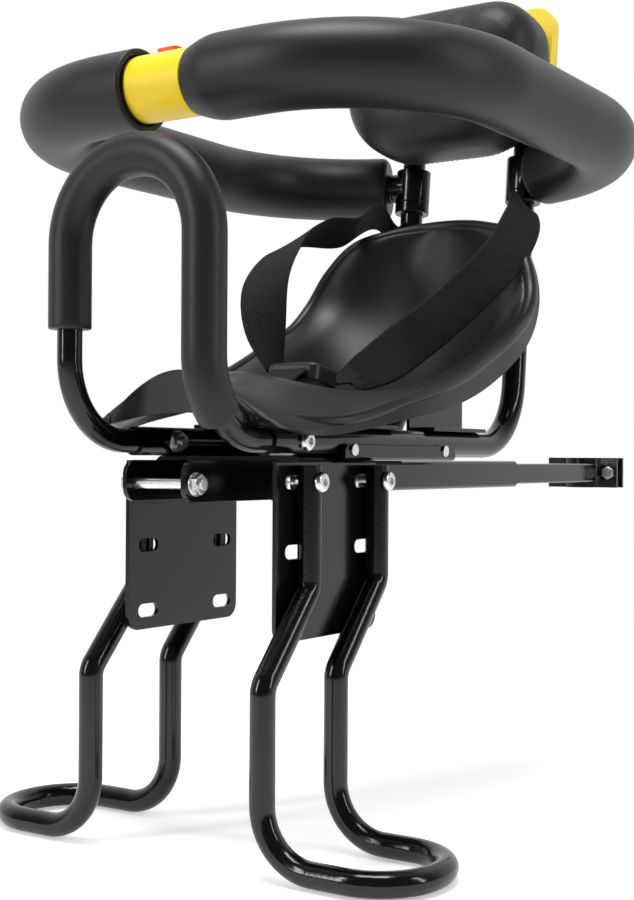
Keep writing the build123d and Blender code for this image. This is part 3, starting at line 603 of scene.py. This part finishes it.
def make_handle_foam():
    corners = [
        point(-TUBE_X, HANDLE_Y, HANDLE_FOAM_RIGHT_END),
        point(-TUBE_X, HANDLE_Y, HANDLE_TOP),
        point(TUBE_X, HANDLE_Y, HANDLE_TOP),
        point(TUBE_X, HANDLE_Y, TUBE_Z),
        point(TUBE_X, HANDLE_Y + HANDLE_LOW_R, TUBE_Z),
    ]
    line = route(corners, [HANDLE_TOP_R * MM, HANDLE_TOP_R * MM, HANDLE_LOW_R * MM])
    long = line_length(line) - HANDLE_LOW_R * MM * (math.pi / 2 - HANDLE_FOAM_TURN)
    radius = HANDLE_FOAM_R * MM
    inner = HANDLE_BORE_R * MM
    corner = HANDLE_END_CORNER * MM
    eased = HANDLE_EASE * corner
    step = HANDLE_RING_STEP * MM
    rings = [(0.0, inner), (0.0, radius - corner), (eased, radius - eased), (corner, radius)]
    rings += plain_rings(step, long - step, radius, step)
    rings += [(long - corner, radius), (long - eased, radius - eased)]
    rings += [(long, radius - corner), (long, inner)]
    mesh = sleeve_mesh("handle_sleeve", line, rings)
    piece = add_piece("handle_sleeve", mesh, foam_black, FIXED, ["grab_handle_foam"])


make_left_guard_foam()
make_right_guard_foam()
make_handle_foam()

# Harness: each station of a strap has its middle, its half width and the way its width points
LEFT_STRAP = [
    ((56.4, 324, 182), 8, (0, 0.1, 1)),
    ((56.8, 315, 185), 8, (0, 0.1, 1)),
    ((60, 300, 195), 10, (-0.55, 0.1, 0.8)),
    ((72, 275, 180), 14, (-0.7, -0.25, 0.65)),
    ((73, 243, 150), 16, (-0.4, -0.4, 0.8)),
    ((57, 214, 119), 16, (-0.3, -0.5, 0.8)),
    ((43, 172, 89), 16, (-0.35, -0.45, 0.8)),
    ((28, 144, 69), 14, (-0.7, -0.2, 0.6)),
    ((14, 134, 62.4), 11, (-1, 0, 0.2)),
    ((10, 121.9, 60.2), 9, (-1, 0, 0.2)),
]
RIGHT_STRAP = [
    ((-56.4, 324, 182), 8, (0, 0.1, 1)),
    ((-56.8, 315, 185), 8, (0, 0.1, 1)),
    ((-56, 296, 193), 9, (0.2, 0.2, 1)),
    ((-50, 240, 175), 13, (0.5, 0.4, 0.8)),
    ((-44, 183, 166), 15, (0.7, 0.35, 0.6)),
    ((-38, 139, 148), 15, (0.75, 0.45, 0.45)),
    ((-33, 112, 120), 15, (0.75, 0.5, 0.3)),
    ((-28, 106, 92), 14, (0.5, 0.8, 0.2)),
    ((-20.4, 107, 65.5), 10, (0, 1, -0.2)),
]
CROTCH_STRAP = [
    ((0, 62, 58.0), 15, (1, 0, 0)),
    ((0, 72, 58.2), 15, (1, 0, 0)),
    ((0, 83, 61.8), 14, (1, 0, 0)),
    ((0, 92.2, 66.2), 13, (1, 0, 0)),
]
BAND_STEPS = 12
LOOP_CLEAR = 0.1
LOOP_STEPS = 40


# Rate of change at each station, weighted by the distances to its neighbours
def station_rates(values, gaps):
    rates = []
    for k in range(len(values)):
        if k == 0:
            rates.append((values[1] - values[0]) / gaps[0])
        elif k == len(values) - 1:
            rates.append((values[-1] - values[-2]) / gaps[-1])
        else:
            before = (values[k] - values[k - 1]) / gaps[k - 1]
            after = (values[k + 1] - values[k]) / gaps[k]
            rates.append((before * gaps[k] + after * gaps[k - 1]) / (gaps[k] + gaps[k - 1]))
    return rates


# Smooth values between the stations
def smooth_values(values, gaps):
    rates = station_rates(values, gaps)
    result = [values[0]]
    for k, gap in enumerate(gaps):
        for step in range(1, BAND_STEPS + 1):
            t = step / BAND_STEPS
            near = (1 + 2 * t) * (1 - t) ** 2
            far = t * t * (3 - 2 * t)
            near_rate = t * (1 - t) ** 2 * gap
            far_rate = t * t * (t - 1) * gap
            between = values[k] * near + values[k + 1] * far
            result.append(between + rates[k] * near_rate + rates[k + 1] * far_rate)
    return result


# Frames along a band: middle, across, face normal, half width
def band_frames(stations):
    middles = [point(*middle) for middle, half, across in stations]
    gaps = [(b - a).length for a, b in zip(middles, middles[1:])]
    halves = smooth_values([half * MM for middle, half, across in stations], gaps)
    acrosses = smooth_values([Vector(across).normalized() for middle, half, across in stations], gaps)
    line = smooth_values(middles, gaps)
    frames = []
    for k, middle in enumerate(line):
        way = (line[min(k + 1, len(line) - 1)] - line[max(k - 1, 0)]).normalized()
        across = (acrosses[k] - way * acrosses[k].dot(way)).normalized()
        frames.append((middle, across, way.cross(across), halves[k]))
    return frames


# Frames of the closed band that carries a strap on its upright
def loop_frames(side):
    middle = point(side * TUBE_X, upright_y(STRAP_LOOP_Z), STRAP_LOOP_Z)
    radius = (TUBE_R + LOOP_CLEAR + STRAP_T / 2) * MM
    along = Vector((1, 0, 0))
    over = UP_ALONG.cross(along)
    frames = []
    for k in range(LOOP_STEPS + 1):
        turn = 2 * math.pi * k / LOOP_STEPS
        out = along * math.cos(turn) + over * math.sin(turn)
        frames.append((middle + out * radius, UP_ALONG, out, STRAP_LOOP_H / 2 * MM))
    return frames


# Outline of a band across its width: share of the half width, share of the half thickness
BAND_OUTLINE = [
    (-1, 0), (-0.96, 0.8), (-0.88, 1), (-0.45, 0.92),
    (0, 0.9), (0.45, 0.92), (0.88, 1), (0.96, 0.8),
    (1, 0), (0.96, -0.8), (0.88, -1), (0.45, -0.92),
    (0, -0.9), (-0.45, -0.92), (-0.88, -1), (-0.96, -0.8),
]


# Adds a band to a strap, with its run and its width in metres as the UV map
def add_band(shape, frames):
    uv = shape.loops.layers.uv.verify()
    loops = []
    runs = [0.0]
    for a, b in zip(frames, frames[1:]):
        runs.append(runs[-1] + (b[0] - a[0]).length)
    for middle, across, normal, half in frames:
        loop = []
        for wide, thick in BAND_OUTLINE:
            place = middle + across * half * wide + normal * STRAP_T / 2 * MM * thick
            loop.append(shape.verts.new(place))
        loops.append(loop)
    count = len(BAND_OUTLINE)
    for k in range(len(frames) - 1):
        for i in range(count):
            n = (i + 1) % count
            face = shape.faces.new((loops[k][i], loops[k][n], loops[k + 1][n], loops[k + 1][i]))
            corners = ((k, i), (k, n), (k + 1, n), (k + 1, i))
            for corner, (row, column) in zip(face.loops, corners):
                corner[uv].uv = (runs[row], BAND_OUTLINE[column][0] * frames[row][3])
    shape.faces.new(loops[0])
    shape.faces.new(loops[-1])


def make_strap(name, node, bands):
    shape = bmesh.new()
    shape.loops.layers.uv.new("band")
    for frames in bands:
        add_band(shape, frames)
    add_piece(name, to_mesh(shape, name), webbing_black, FIXED, [node])


left_frames = band_frames(LEFT_STRAP)
right_frames = band_frames(RIGHT_STRAP)
crotch_frames = band_frames(CROTCH_STRAP)
make_strap("left_webbing", "left_strap", [left_frames, loop_frames(1)])
make_strap("right_webbing", "right_strap", [right_frames, loop_frames(-1)])
make_strap("crotch_webbing", "crotch_strap", [crotch_frames])


# Stitches: small beads of thread at an even pitch along a line; thread is the bead's radius
BEAD_SIDES = 8
BEAD_RINGS = 6
STRAP_STITCH = {"pitch": 3.2, "length": 2.4, "thread": 0.35}
SEAM_STITCH = {"pitch": 4.2, "length": 3.0, "thread": 0.32}
STITCH_LIFT = 0.05
SEWN_RUNS = ((0.02, 0.2), (0.82, 0.98))
SEWN_SHARES = (-0.78, -0.26, 0.26, 0.78)


def make_stitch_tree():
    tree = bpy.data.node_groups.new("stitch row", "GeometryNodeTree")
    face = tree.interface
    face.new_socket(name="Line", in_out="INPUT", socket_type="NodeSocketGeometry")
    for label, value in (("Pitch", 0.004), ("Length", 0.0028), ("Thread", 0.00045)):
        face.new_socket(name=label, in_out="INPUT", socket_type=FLOAT).default_value = value
    face.new_socket(name="Material", in_out="INPUT", socket_type="NodeSocketMaterial")
    face.new_socket(name="Stitches", in_out="OUTPUT", socket_type="NodeSocketGeometry")
    given = tree.nodes.new("NodeGroupInput")
    result = tree.nodes.new("NodeGroupOutput")
    curve = tree.nodes.new("GeometryNodeMeshToCurve")
    spaced = tree.nodes.new("GeometryNodeResampleCurve")
    spaced.mode = "LENGTH"
    bead = tree.nodes.new("GeometryNodeMeshUVSphere")
    bead.inputs["Segments"].default_value = BEAD_SIDES
    bead.inputs["Rings"].default_value = BEAD_RINGS
    bead.inputs["Radius"].default_value = 1.0
    size = tree.nodes.new("ShaderNodeCombineXYZ")
    half = tree.nodes.new("ShaderNodeMath")
    half.operation = "MULTIPLY"
    half.inputs[1].default_value = 0.5
    stretched = tree.nodes.new("GeometryNodeTransform")
    tangent = tree.nodes.new("GeometryNodeInputTangent")
    turned = tree.nodes.new("FunctionNodeAlignRotationToVector")
    turned.axis = "Z"
    put = tree.nodes.new("GeometryNodeInstanceOnPoints")
    real = tree.nodes.new("GeometryNodeRealizeInstances")
    paint = tree.nodes.new("GeometryNodeSetMaterial")
    wire(tree, given.outputs["Line"], curve.inputs["Mesh"])
    wire(tree, curve.outputs["Curve"], spaced.inputs["Curve"])
    wire(tree, given.outputs["Pitch"], spaced.inputs["Length"])
    wire(tree, given.outputs["Length"], half.inputs[0])
    wire(tree, given.outputs["Thread"], size.inputs["X"])
    wire(tree, given.outputs["Thread"], size.inputs["Y"])
    wire(tree, half.outputs[0], size.inputs["Z"])
    wire(tree, bead.outputs["Mesh"], stretched.inputs["Geometry"])
    wire(tree, size.outputs["Vector"], stretched.inputs["Scale"])
    wire(tree, tangent.outputs["Tangent"], turned.inputs["Vector"])
    wire(tree, spaced.outputs["Curve"], put.inputs["Points"])
    wire(tree, stretched.outputs["Geometry"], put.inputs["Instance"])
    wire(tree, turned.outputs["Rotation"], put.inputs["Rotation"])
    wire(tree, put.outputs["Instances"], real.inputs["Geometry"])
    wire(tree, real.outputs["Geometry"], paint.inputs["Geometry"])
    wire(tree, given.outputs["Material"], paint.inputs["Material"])
    wire(tree, paint.outputs["Geometry"], result.inputs["Stitches"])
    return tree


stitch_tree = make_stitch_tree()


# One piece with the stitches of several lines, in the webbing's own thread
def make_stitches(name, lines, pitch, length, thread):
    shape = bmesh.new()
    for line in lines:
        verts = [shape.verts.new(p) for p in line]
        for a, b in zip(verts, verts[1:]):
            shape.edges.new((a, b))
    mesh = bpy.data.meshes.new(name + "_lines")
    shape.to_mesh(mesh)
    shape.free()
    guide = bpy.data.objects.new(name + "_lines", mesh)
    scene.collection.objects.link(guide)
    rows = guide.modifiers.new("rows", "NODES")
    rows.node_group = stitch_tree
    sockets = {s.name: s.identifier for s in stitch_tree.interface.items_tree if s.in_out == "INPUT"}
    rows[sockets["Pitch"]] = pitch * MM
    rows[sockets["Length"]] = length * MM
    rows[sockets["Thread"]] = thread * MM
    rows[sockets["Material"]] = webbing_black
    result = settled(guide)
    bpy.data.objects.remove(guide)
    add_piece(name, result, webbing_black, FIXED)


# A line on a band's face between two shares of its length, at a share of its half width
def band_line(frames, start, end, share, side):
    first = round(start * (len(frames) - 1))
    last = round(end * (len(frames) - 1))
    lift = (STRAP_T / 2 + STITCH_LIFT) * MM * side
    line = []
    for middle, across, normal, half in frames[first:last + 1]:
        line.append(middle + across * half * share + normal * lift)
    return line


# Lines near both ends of a strap, on both of its faces
def sewn_ends(frames):
    lines = []
    for side in (-1, 1):
        for share in SEWN_SHARES:
            for start, end in SEWN_RUNS:
                lines.append(band_line(frames, start, end, share, side))
    return lines


make_stitches("left_webbing_stitches", sewn_ends(left_frames), **STRAP_STITCH)
make_stitches("right_webbing_stitches", sewn_ends(right_frames), **STRAP_STITCH)

# Rolled rim of the saddle: each row has its place along the seat and its height,
# its half width and how far its edge rises
SADDLE_ROWS = [
    (-16.2, 60.6, 47, -24),
    (26.1, 61.6, 78, -27),
    (71.9, 54.6, 89, -9),
    (117.8, 47.6, 93, 10),
    (186.2, 50.3, 93, 32),
    (225.9, 63.7, 93, 36),
    (254, 90.1, 90, 28),
    (269, 116, 86, 22),
    (278, 142, 77, 20),
    (284, 165, 59, 16),
    (287, 176, 34, 7),
    (289, 182, 9, 0.5),
]
DEEP_ROW = 4
RIM_SET = 3.2
RIM_LOW = 2.6
RIM_R = 4.6
RIM_FRONT_R = 3.2


# Middle and radius of the roll at a row, on the +X side
def rim_station(index):
    y, z, half, rise = SADDLE_ROWS[index]
    before = SADDLE_ROWS[max(index - 1, 0)]
    after = SADDLE_ROWS[min(index + 1, len(SADDLE_ROWS) - 1)]
    way = Vector((0, after[0] - before[0], after[1] - before[1])).normalized()
    normal = Vector((0, -way.z, way.y))
    middle = Vector((half + RIM_SET, y, z)) + normal * (rise - RIM_LOW)
    radius = RIM_FRONT_R + (RIM_R - RIM_FRONT_R) * min(1.0, index / DEEP_ROW)
    return middle * MM, radius * MM


def make_saddle_rim():
    left = [rim_station(index) for index in range(len(SADDLE_ROWS))]
    right = [(Vector((-middle.x, middle.y, middle.z)), radius) for middle, radius in reversed(left)]
    stations = left + right
    middles = [middle for middle, radius in stations]
    gaps = [(b - a).length for a, b in zip(middles, middles[1:])]
    line = smooth_values(middles, gaps)
    radii = smooth_values([radius for middle, radius in stations], gaps)
    rings = []
    distance = 0.0
    for k, radius in enumerate(radii):
        if k:
            distance += (line[k] - line[k - 1]).length
        rings.append((distance, radius))
    mesh = sleeve_mesh("saddle_rim", line, rings)
    add_piece("saddle_rim", mesh, saddle_black, FIXED)


make_saddle_rim()

# Coil under the push button; it rides on the button's body
BUTTON_X = -9.0
COIL_LOW = -5.5
COIL_TALL = 16.0
COIL_R = 2.6
COIL_WIRE_R = 0.4
COIL_TURNS = 4
COIL_STEPS = 24
COIL_SIDES = 10
COIL_PLAY = 0.05


def make_button_coil():
    rise = COIL_TALL - 2 * COIL_WIRE_R - 2 * COIL_PLAY
    count = COIL_TURNS * COIL_STEPS
    line = []
    for k in range(count + 1):
        turn = 2 * math.pi * k / COIL_STEPS
        z = RING_Z + COIL_LOW + COIL_WIRE_R + COIL_PLAY + rise * k / count
        line.append(point(BUTTON_X + COIL_R * math.cos(turn), RING_FRONT + COIL_R * math.sin(turn), z))
    long = line_length(line)
    rings = [(long * k / (2 * count), COIL_WIRE_R * MM) for k in range(2 * count + 1)]
    mesh = sleeve_mesh("button_coil", line, rings, COIL_SIDES)
    piece = add_piece("button_coil", mesh, zinc, "release_button", ["button_spring"])
    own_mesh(piece)


make_button_coil()

# Headrest cushion: w is the distance from the plane of the uprights towards the front
HEAD_AT = point(0, upright_y(CUSHION_Z), CUSHION_Z)
HEAD_OUT = Vector((0, -math.cos(LEAN), math.sin(LEAN)))
CUSHION_SHRINK = 0.965
CUSHION_VOXEL = 5.0
CUSHION_COVER_MASS = 0.2
CUSHION_PRESSURE = 4.0
CUSHION_CAP = 6.0
CUSHION_FRAMES = 20
CUSHION_LEVELS = 2
SEAM_W = 20.0
SEAM_WIDTH = 2.2
SEAM_DEPTH = 1.6
SEAM_ROW_OFFSET = 3.2
SEAM_STEPS = 120
SEAM_CAST = 200.0
SEAM_LIFT = 0.1
REST_W = 6.0


# A slightly smaller closed copy of the cushion's solid, without the bores for the uprights
def cushion_start():
    shape = bmesh.new()
    shape.from_mesh(nodes["headrest_cushion"].data)
    hull = bmesh.ops.convex_hull(shape, input=shape.verts)
    bmesh.ops.delete(shape, geom=hull["geom_unused"] + hull["geom_interior"], context="VERTS")
    lone = [v for v in shape.verts if not v.link_faces]
    bmesh.ops.delete(shape, geom=lone, context="VERTS")
    centre = sum((Vector(corner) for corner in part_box("headrest_cushion")), Vector()) / 2
    for vert in shape.verts:
        vert.co = centre + (vert.co - centre) * CUSHION_SHRINK
    mesh = to_mesh(shape, "cushion_start")
    piece = bpy.data.objects.new("cushion_start", mesh)
    scene.collection.objects.link(piece)
    even = piece.modifiers.new("even", "REMESH")
    even.mode = "VOXEL"
    even.voxel_size = CUSHION_VOXEL * MM
    result = settled(piece)
    bpy.data.objects.remove(piece)
    return result


# Air pressure presses the cover out a little; its flat back stays where it rests
def swell(mesh):
    piece = bpy.data.objects.new("cushion_swell", mesh)
    scene.collection.objects.link(piece)
    held = piece.vertex_groups.new(name="held")
    back = [v.index for v in mesh.vertices if (v.co - HEAD_AT).dot(HEAD_OUT) < REST_W * MM]
    held.add(back, 1.0, "REPLACE")
    cover = piece.modifiers.new("cover", "CLOTH")
    cover.settings.vertex_group_mass = "held"
    cover.settings.use_pressure = True
    cover.settings.uniform_pressure_force = CUSHION_PRESSURE
    cover.settings.mass = CUSHION_COVER_MASS
    cover.settings.effector_weights.gravity = 0
    for step in range(1, CUSHION_FRAMES + 1):
        scene.frame_set(step)
    result = settled(piece)
    for before, after in zip(mesh.vertices, result.vertices):
        move = after.co - before.co
        if move.length > CUSHION_CAP * MM:
            after.co = before.co + move.normalized() * CUSHION_CAP * MM
    bpy.data.objects.remove(piece)
    scene.frame_set(1)
    return result


def refine(mesh):
    piece = bpy.data.objects.new("cushion_refine", mesh)
    scene.collection.objects.link(piece)
    finer = piece.modifiers.new("finer", "SUBSURF")
    finer.levels = CUSHION_LEVELS
    finer.render_levels = CUSHION_LEVELS
    result = settled(piece)
    bpy.data.objects.remove(piece)
    return result


# The seam is a narrow groove round the cushion, parallel to its back
def press_seam(mesh):
    normals = [vert.normal.copy() for vert in mesh.vertices]
    for vert, normal in zip(mesh.vertices, normals):
        w = (vert.co - HEAD_AT).dot(HEAD_OUT) / MM
        vert.co = vert.co - normal * SEAM_DEPTH * MM * math.exp(-((w - SEAM_W) / SEAM_WIDTH) ** 2)


# A closed line round the cushion's surface, all of it at the distance w
def seam_line(mesh, w):
    places = [v.co for v in mesh.vertices]
    tree = BVHTree.FromPolygons(places, [list(p.vertices) for p in mesh.polygons])
    middle = HEAD_AT + HEAD_OUT * w * MM
    line = []
    for k in range(SEAM_STEPS + 1):
        turn = 2 * math.pi * k / SEAM_STEPS
        out = Vector((1, 0, 0)) * math.cos(turn) + UP_ALONG * math.sin(turn)
        hit = tree.ray_cast(middle + out * (SEAM_CAST * MM), -out)
        line.append(hit[0] + out * SEAM_LIFT * MM)
    return line


def make_cushion():
    mesh = cushion_start()
    mesh = swell(mesh)
    mesh = refine(mesh)
    press_seam(mesh)
    piece = add_piece("headrest_pad", mesh, cushion_black, FIXED,
                      ["headrest_cushion"])
    lines = [seam_line(mesh, SEAM_W - SEAM_ROW_OFFSET), seam_line(mesh, SEAM_W + SEAM_ROW_OFFSET)]
    make_stitches("headrest_pad_stitches", lines, **SEAM_STITCH)


make_cushion()

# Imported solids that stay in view, by their finish
STEEL = ["main_bar", "left_front_arm", "right_front_arm", "mount_bracket", "left_foot_rest",
         "right_foot_rest", "extension_tube", "clamp_front_jaw", "clamp_rear_jaw", "seat_base_tray",
         "left_seat_tube", "right_seat_tube", "grab_handle", "left_hinge_sleeve", "right_hinge_sleeve",
         "left_stop_collar", "right_stop_collar", "saddle_front_rest", "saddle_rear_rest",
         "left_guard_arm", "right_guard_arm"]
ZINC = ["fork_bolt", "fork_nut", "foot_rest_bolts", "foot_rest_nuts", "clamp_bolts", "clamp_nuts",
        "bar_lock_bolt", "bar_lock_nut", "base_bolts", "base_nuts", "handle_bolts", "handle_nuts",
        "saddle_bolts", "saddle_nuts", "tray_rivets"]
for name in STEEL:
    dress(name, painted_black, edge=0.5)
for name in ZINC:
    dress(name, zinc, edge=0.3)
dress("latch_socket", buckle_black, edge=0.5)
dress("latch_sleeve", latch_yellow, edge=0.4)
dress("headrest_back", latch_yellow, edge=0.5)
dress("latch_button", button_red, edge=0.3)
dress("buckle", buckle_black, edge=0.5)
dress("saddle", saddle_black, edge=0.8)

# Camera at the photograph's place
CAMERA_AT = (510.8, -650.4, 11.8)
CAMERA_TURN = math.radians(33.40)
CAMERA_RISE = math.radians(0.30)
CAMERA_ROLL = math.radians(0.32)
FOCAL_PX = 1452.6
FRAME_TALL_PX = 900.0
SENSOR_W = 36.0
CLIP_NEAR = 0.01
CLIP_FAR = 60.0


def make_camera():
    lens = bpy.data.cameras.new("camera")
    lens.sensor_fit = "AUTO"
    lens.sensor_width = SENSOR_W
    lens.lens = FOCAL_PX * SENSOR_W / FRAME_TALL_PX
    lens.clip_start = CLIP_NEAR
    lens.clip_end = CLIP_FAR
    camera = bpy.data.objects.new("camera", lens)
    scene.collection.objects.link(camera)
    right = Vector((math.cos(CAMERA_TURN), math.sin(CAMERA_TURN), 0))
    level = Vector((-math.sin(CAMERA_TURN), math.cos(CAMERA_TURN), 0))
    up = Vector((0, 0, 1))
    ahead = level * math.cos(CAMERA_RISE) + up * math.sin(CAMERA_RISE)
    over = up * math.cos(CAMERA_RISE) - level * math.sin(CAMERA_RISE)
    side = right * math.cos(CAMERA_ROLL) + over * math.sin(CAMERA_ROLL)
    top = over * math.cos(CAMERA_ROLL) - right * math.sin(CAMERA_ROLL)
    turn = Matrix((side, top, -ahead)).transposed().to_4x4()
    camera.matrix_world = Matrix.Translation(point(*CAMERA_AT)) @ turn
    scene.camera = camera


make_camera()

# Pale floor, surroundings that give less light from the camera's side, soft lamps
FLOOR_R = 14.0
FLOOR_SIDES = 96
FLOOR_DROP = 0.0005
FLOOR_GREY = 0.93
FLOOR_ROUGHNESS = 0.9
FLOOR_SPECULAR = 0.1
FLOOR_GLOW = 0.42
FLOOR_NEAR = 0.4
FLOOR_FAR = 1.3
SWEEP_END = -0.8
SWEEP_START = -0.1
NEAR_SIDE_LIGHT = 0.10
FAR_SIDE_LIGHT = 1.0
LIGHT_RISES_AT = -0.3
LIGHT_FULL_AT = 0.6


# A soft step from low to high while the value goes from start to end
def smooth_step(tree, value, start, end, low=0.0, high=1.0):
    step = tree.nodes.new("ShaderNodeMapRange")
    step.interpolation_type = "SMOOTHSTEP"
    for label, number in (("From Min", start), ("From Max", end), ("To Min", low), ("To Max", high)):
        step.inputs[label].default_value = number
    wire(tree, value, step.inputs["Value"])
    return step.outputs["Result"]


# How far a place or a direction lies along the way that the photograph was taken
def depth_of(tree, place):
    depth = tree.nodes.new("ShaderNodeVectorMath")
    depth.operation = "DOT_PRODUCT"
    wire(tree, place, depth.inputs[0])
    depth.inputs[1].default_value = (-math.sin(CAMERA_TURN), math.cos(CAMERA_TURN), 0)
    return depth.outputs["Value"]


# The floor glows where it is looked at, keeps a soft shadow and turns to plain white further out;
# for mirrored rays it darkens towards the camera
def make_floor():
    shape = bmesh.new()
    bmesh.ops.create_circle(shape, cap_ends=True, segments=FLOOR_SIDES, radius=FLOOR_R)
    mesh = bpy.data.meshes.new("floor")
    shape.to_mesh(mesh)
    shape.free()
    floor = bpy.data.objects.new("floor", mesh)
    floor.location.z = cad_box[0].z - FLOOR_DROP
    scene.collection.objects.link(floor)
    material = bpy.data.materials.new("floor")
    material.use_nodes = True
    tree = material.node_tree
    surface = tree.nodes["Principled BSDF"]
    surface.inputs["Base Color"].default_value = grey(FLOOR_GREY)
    surface.inputs["Roughness"].default_value = FLOOR_ROUGHNESS
    surface.inputs["Specular IOR Level"].default_value = FLOOR_SPECULAR
    surface.inputs["Emission Color"].default_value = grey(1.0)
    path = tree.nodes.new("ShaderNodeLightPath")
    place = tree.nodes.new("ShaderNodeTexCoord").outputs["Object"]
    sweep = smooth_step(tree, depth_of(tree, place), SWEEP_END, SWEEP_START)
    mirrored = math_node(tree, "MULTIPLY", path.outputs["Is Glossy Ray"], sweep)
    seen = math_node(tree, "MAXIMUM", path.outputs["Is Camera Ray"], mirrored)
    seen = math_node(tree, "MAXIMUM", seen, path.outputs["Is Transmission Ray"])
    wire(tree, math_node(tree, "MULTIPLY", seen, FLOOR_GLOW), surface.inputs["Emission Strength"])
    reach = tree.nodes.new("ShaderNodeVectorMath")
    reach.operation = "LENGTH"
    wire(tree, place, reach.inputs[0])
    fade = smooth_step(tree, reach.outputs["Value"], FLOOR_NEAR, FLOOR_FAR)
    white = tree.nodes.new("ShaderNodeEmission")
    mix = tree.nodes.new("ShaderNodeMixShader")
    wire(tree, math_node(tree, "MULTIPLY", seen, fade), mix.inputs["Fac"])
    wire(tree, surface.outputs["BSDF"], mix.inputs[1])
    wire(tree, white.outputs["Emission"], mix.inputs[2])
    wire(tree, mix.outputs["Shader"], tree.nodes["Material Output"].inputs["Surface"])
    mesh.materials.append(material)


# White where it is looked at; as light it is dim on the camera's side and white beyond the object
def make_world():
    world = bpy.data.worlds.new("studio")
    scene.world = world
    world.use_nodes = True
    tree = world.node_tree
    back = tree.nodes["Background"]
    facing = depth_of(tree, tree.nodes.new("ShaderNodeTexCoord").outputs["Generated"])
    light = smooth_step(tree, facing, LIGHT_RISES_AT, LIGHT_FULL_AT, NEAR_SIDE_LIGHT, FAR_SIDE_LIGHT)
    path = tree.nodes.new("ShaderNodeLightPath")
    seen = math_node(tree, "MAXIMUM", path.outputs["Is Camera Ray"], path.outputs["Is Transmission Ray"])
    wire(tree, math_node(tree, "MAXIMUM", light, seen), back.inputs["Color"])
    back.inputs["Strength"].default_value = 1.0


def make_lamp(name, at, aim, width, tall, power):
    light = bpy.data.lights.new(name, "AREA")
    light.shape = "RECTANGLE"
    light.size = width
    light.size_y = tall
    light.energy = power
    lamp = bpy.data.objects.new(name, light)
    lamp.location = at
    lamp.rotation_mode = "QUATERNION"
    lamp.rotation_quaternion = (Vector(aim) - Vector(at)).to_track_quat("-Z", "Y")
    scene.collection.objects.link(lamp)


make_floor()
make_world()
make_lamp("overhead lamp", at=(0.1, -0.2, 1.5), aim=(0.0, 0.1, 0.0), width=0.9, tall=0.5, power=20.0)
make_lamp("left lamp", at=(-0.75, -1.5, 0.7), aim=(0.0, 0.1, 0.05), width=0.28, tall=1.2, power=14.0)
make_lamp("right lamp", at=(1.55, 0.25, 0.6), aim=(0.0, 0.1, 0.0), width=0.2, tall=1.2, power=7.0)

scene.view_settings.view_transform = "Standard"
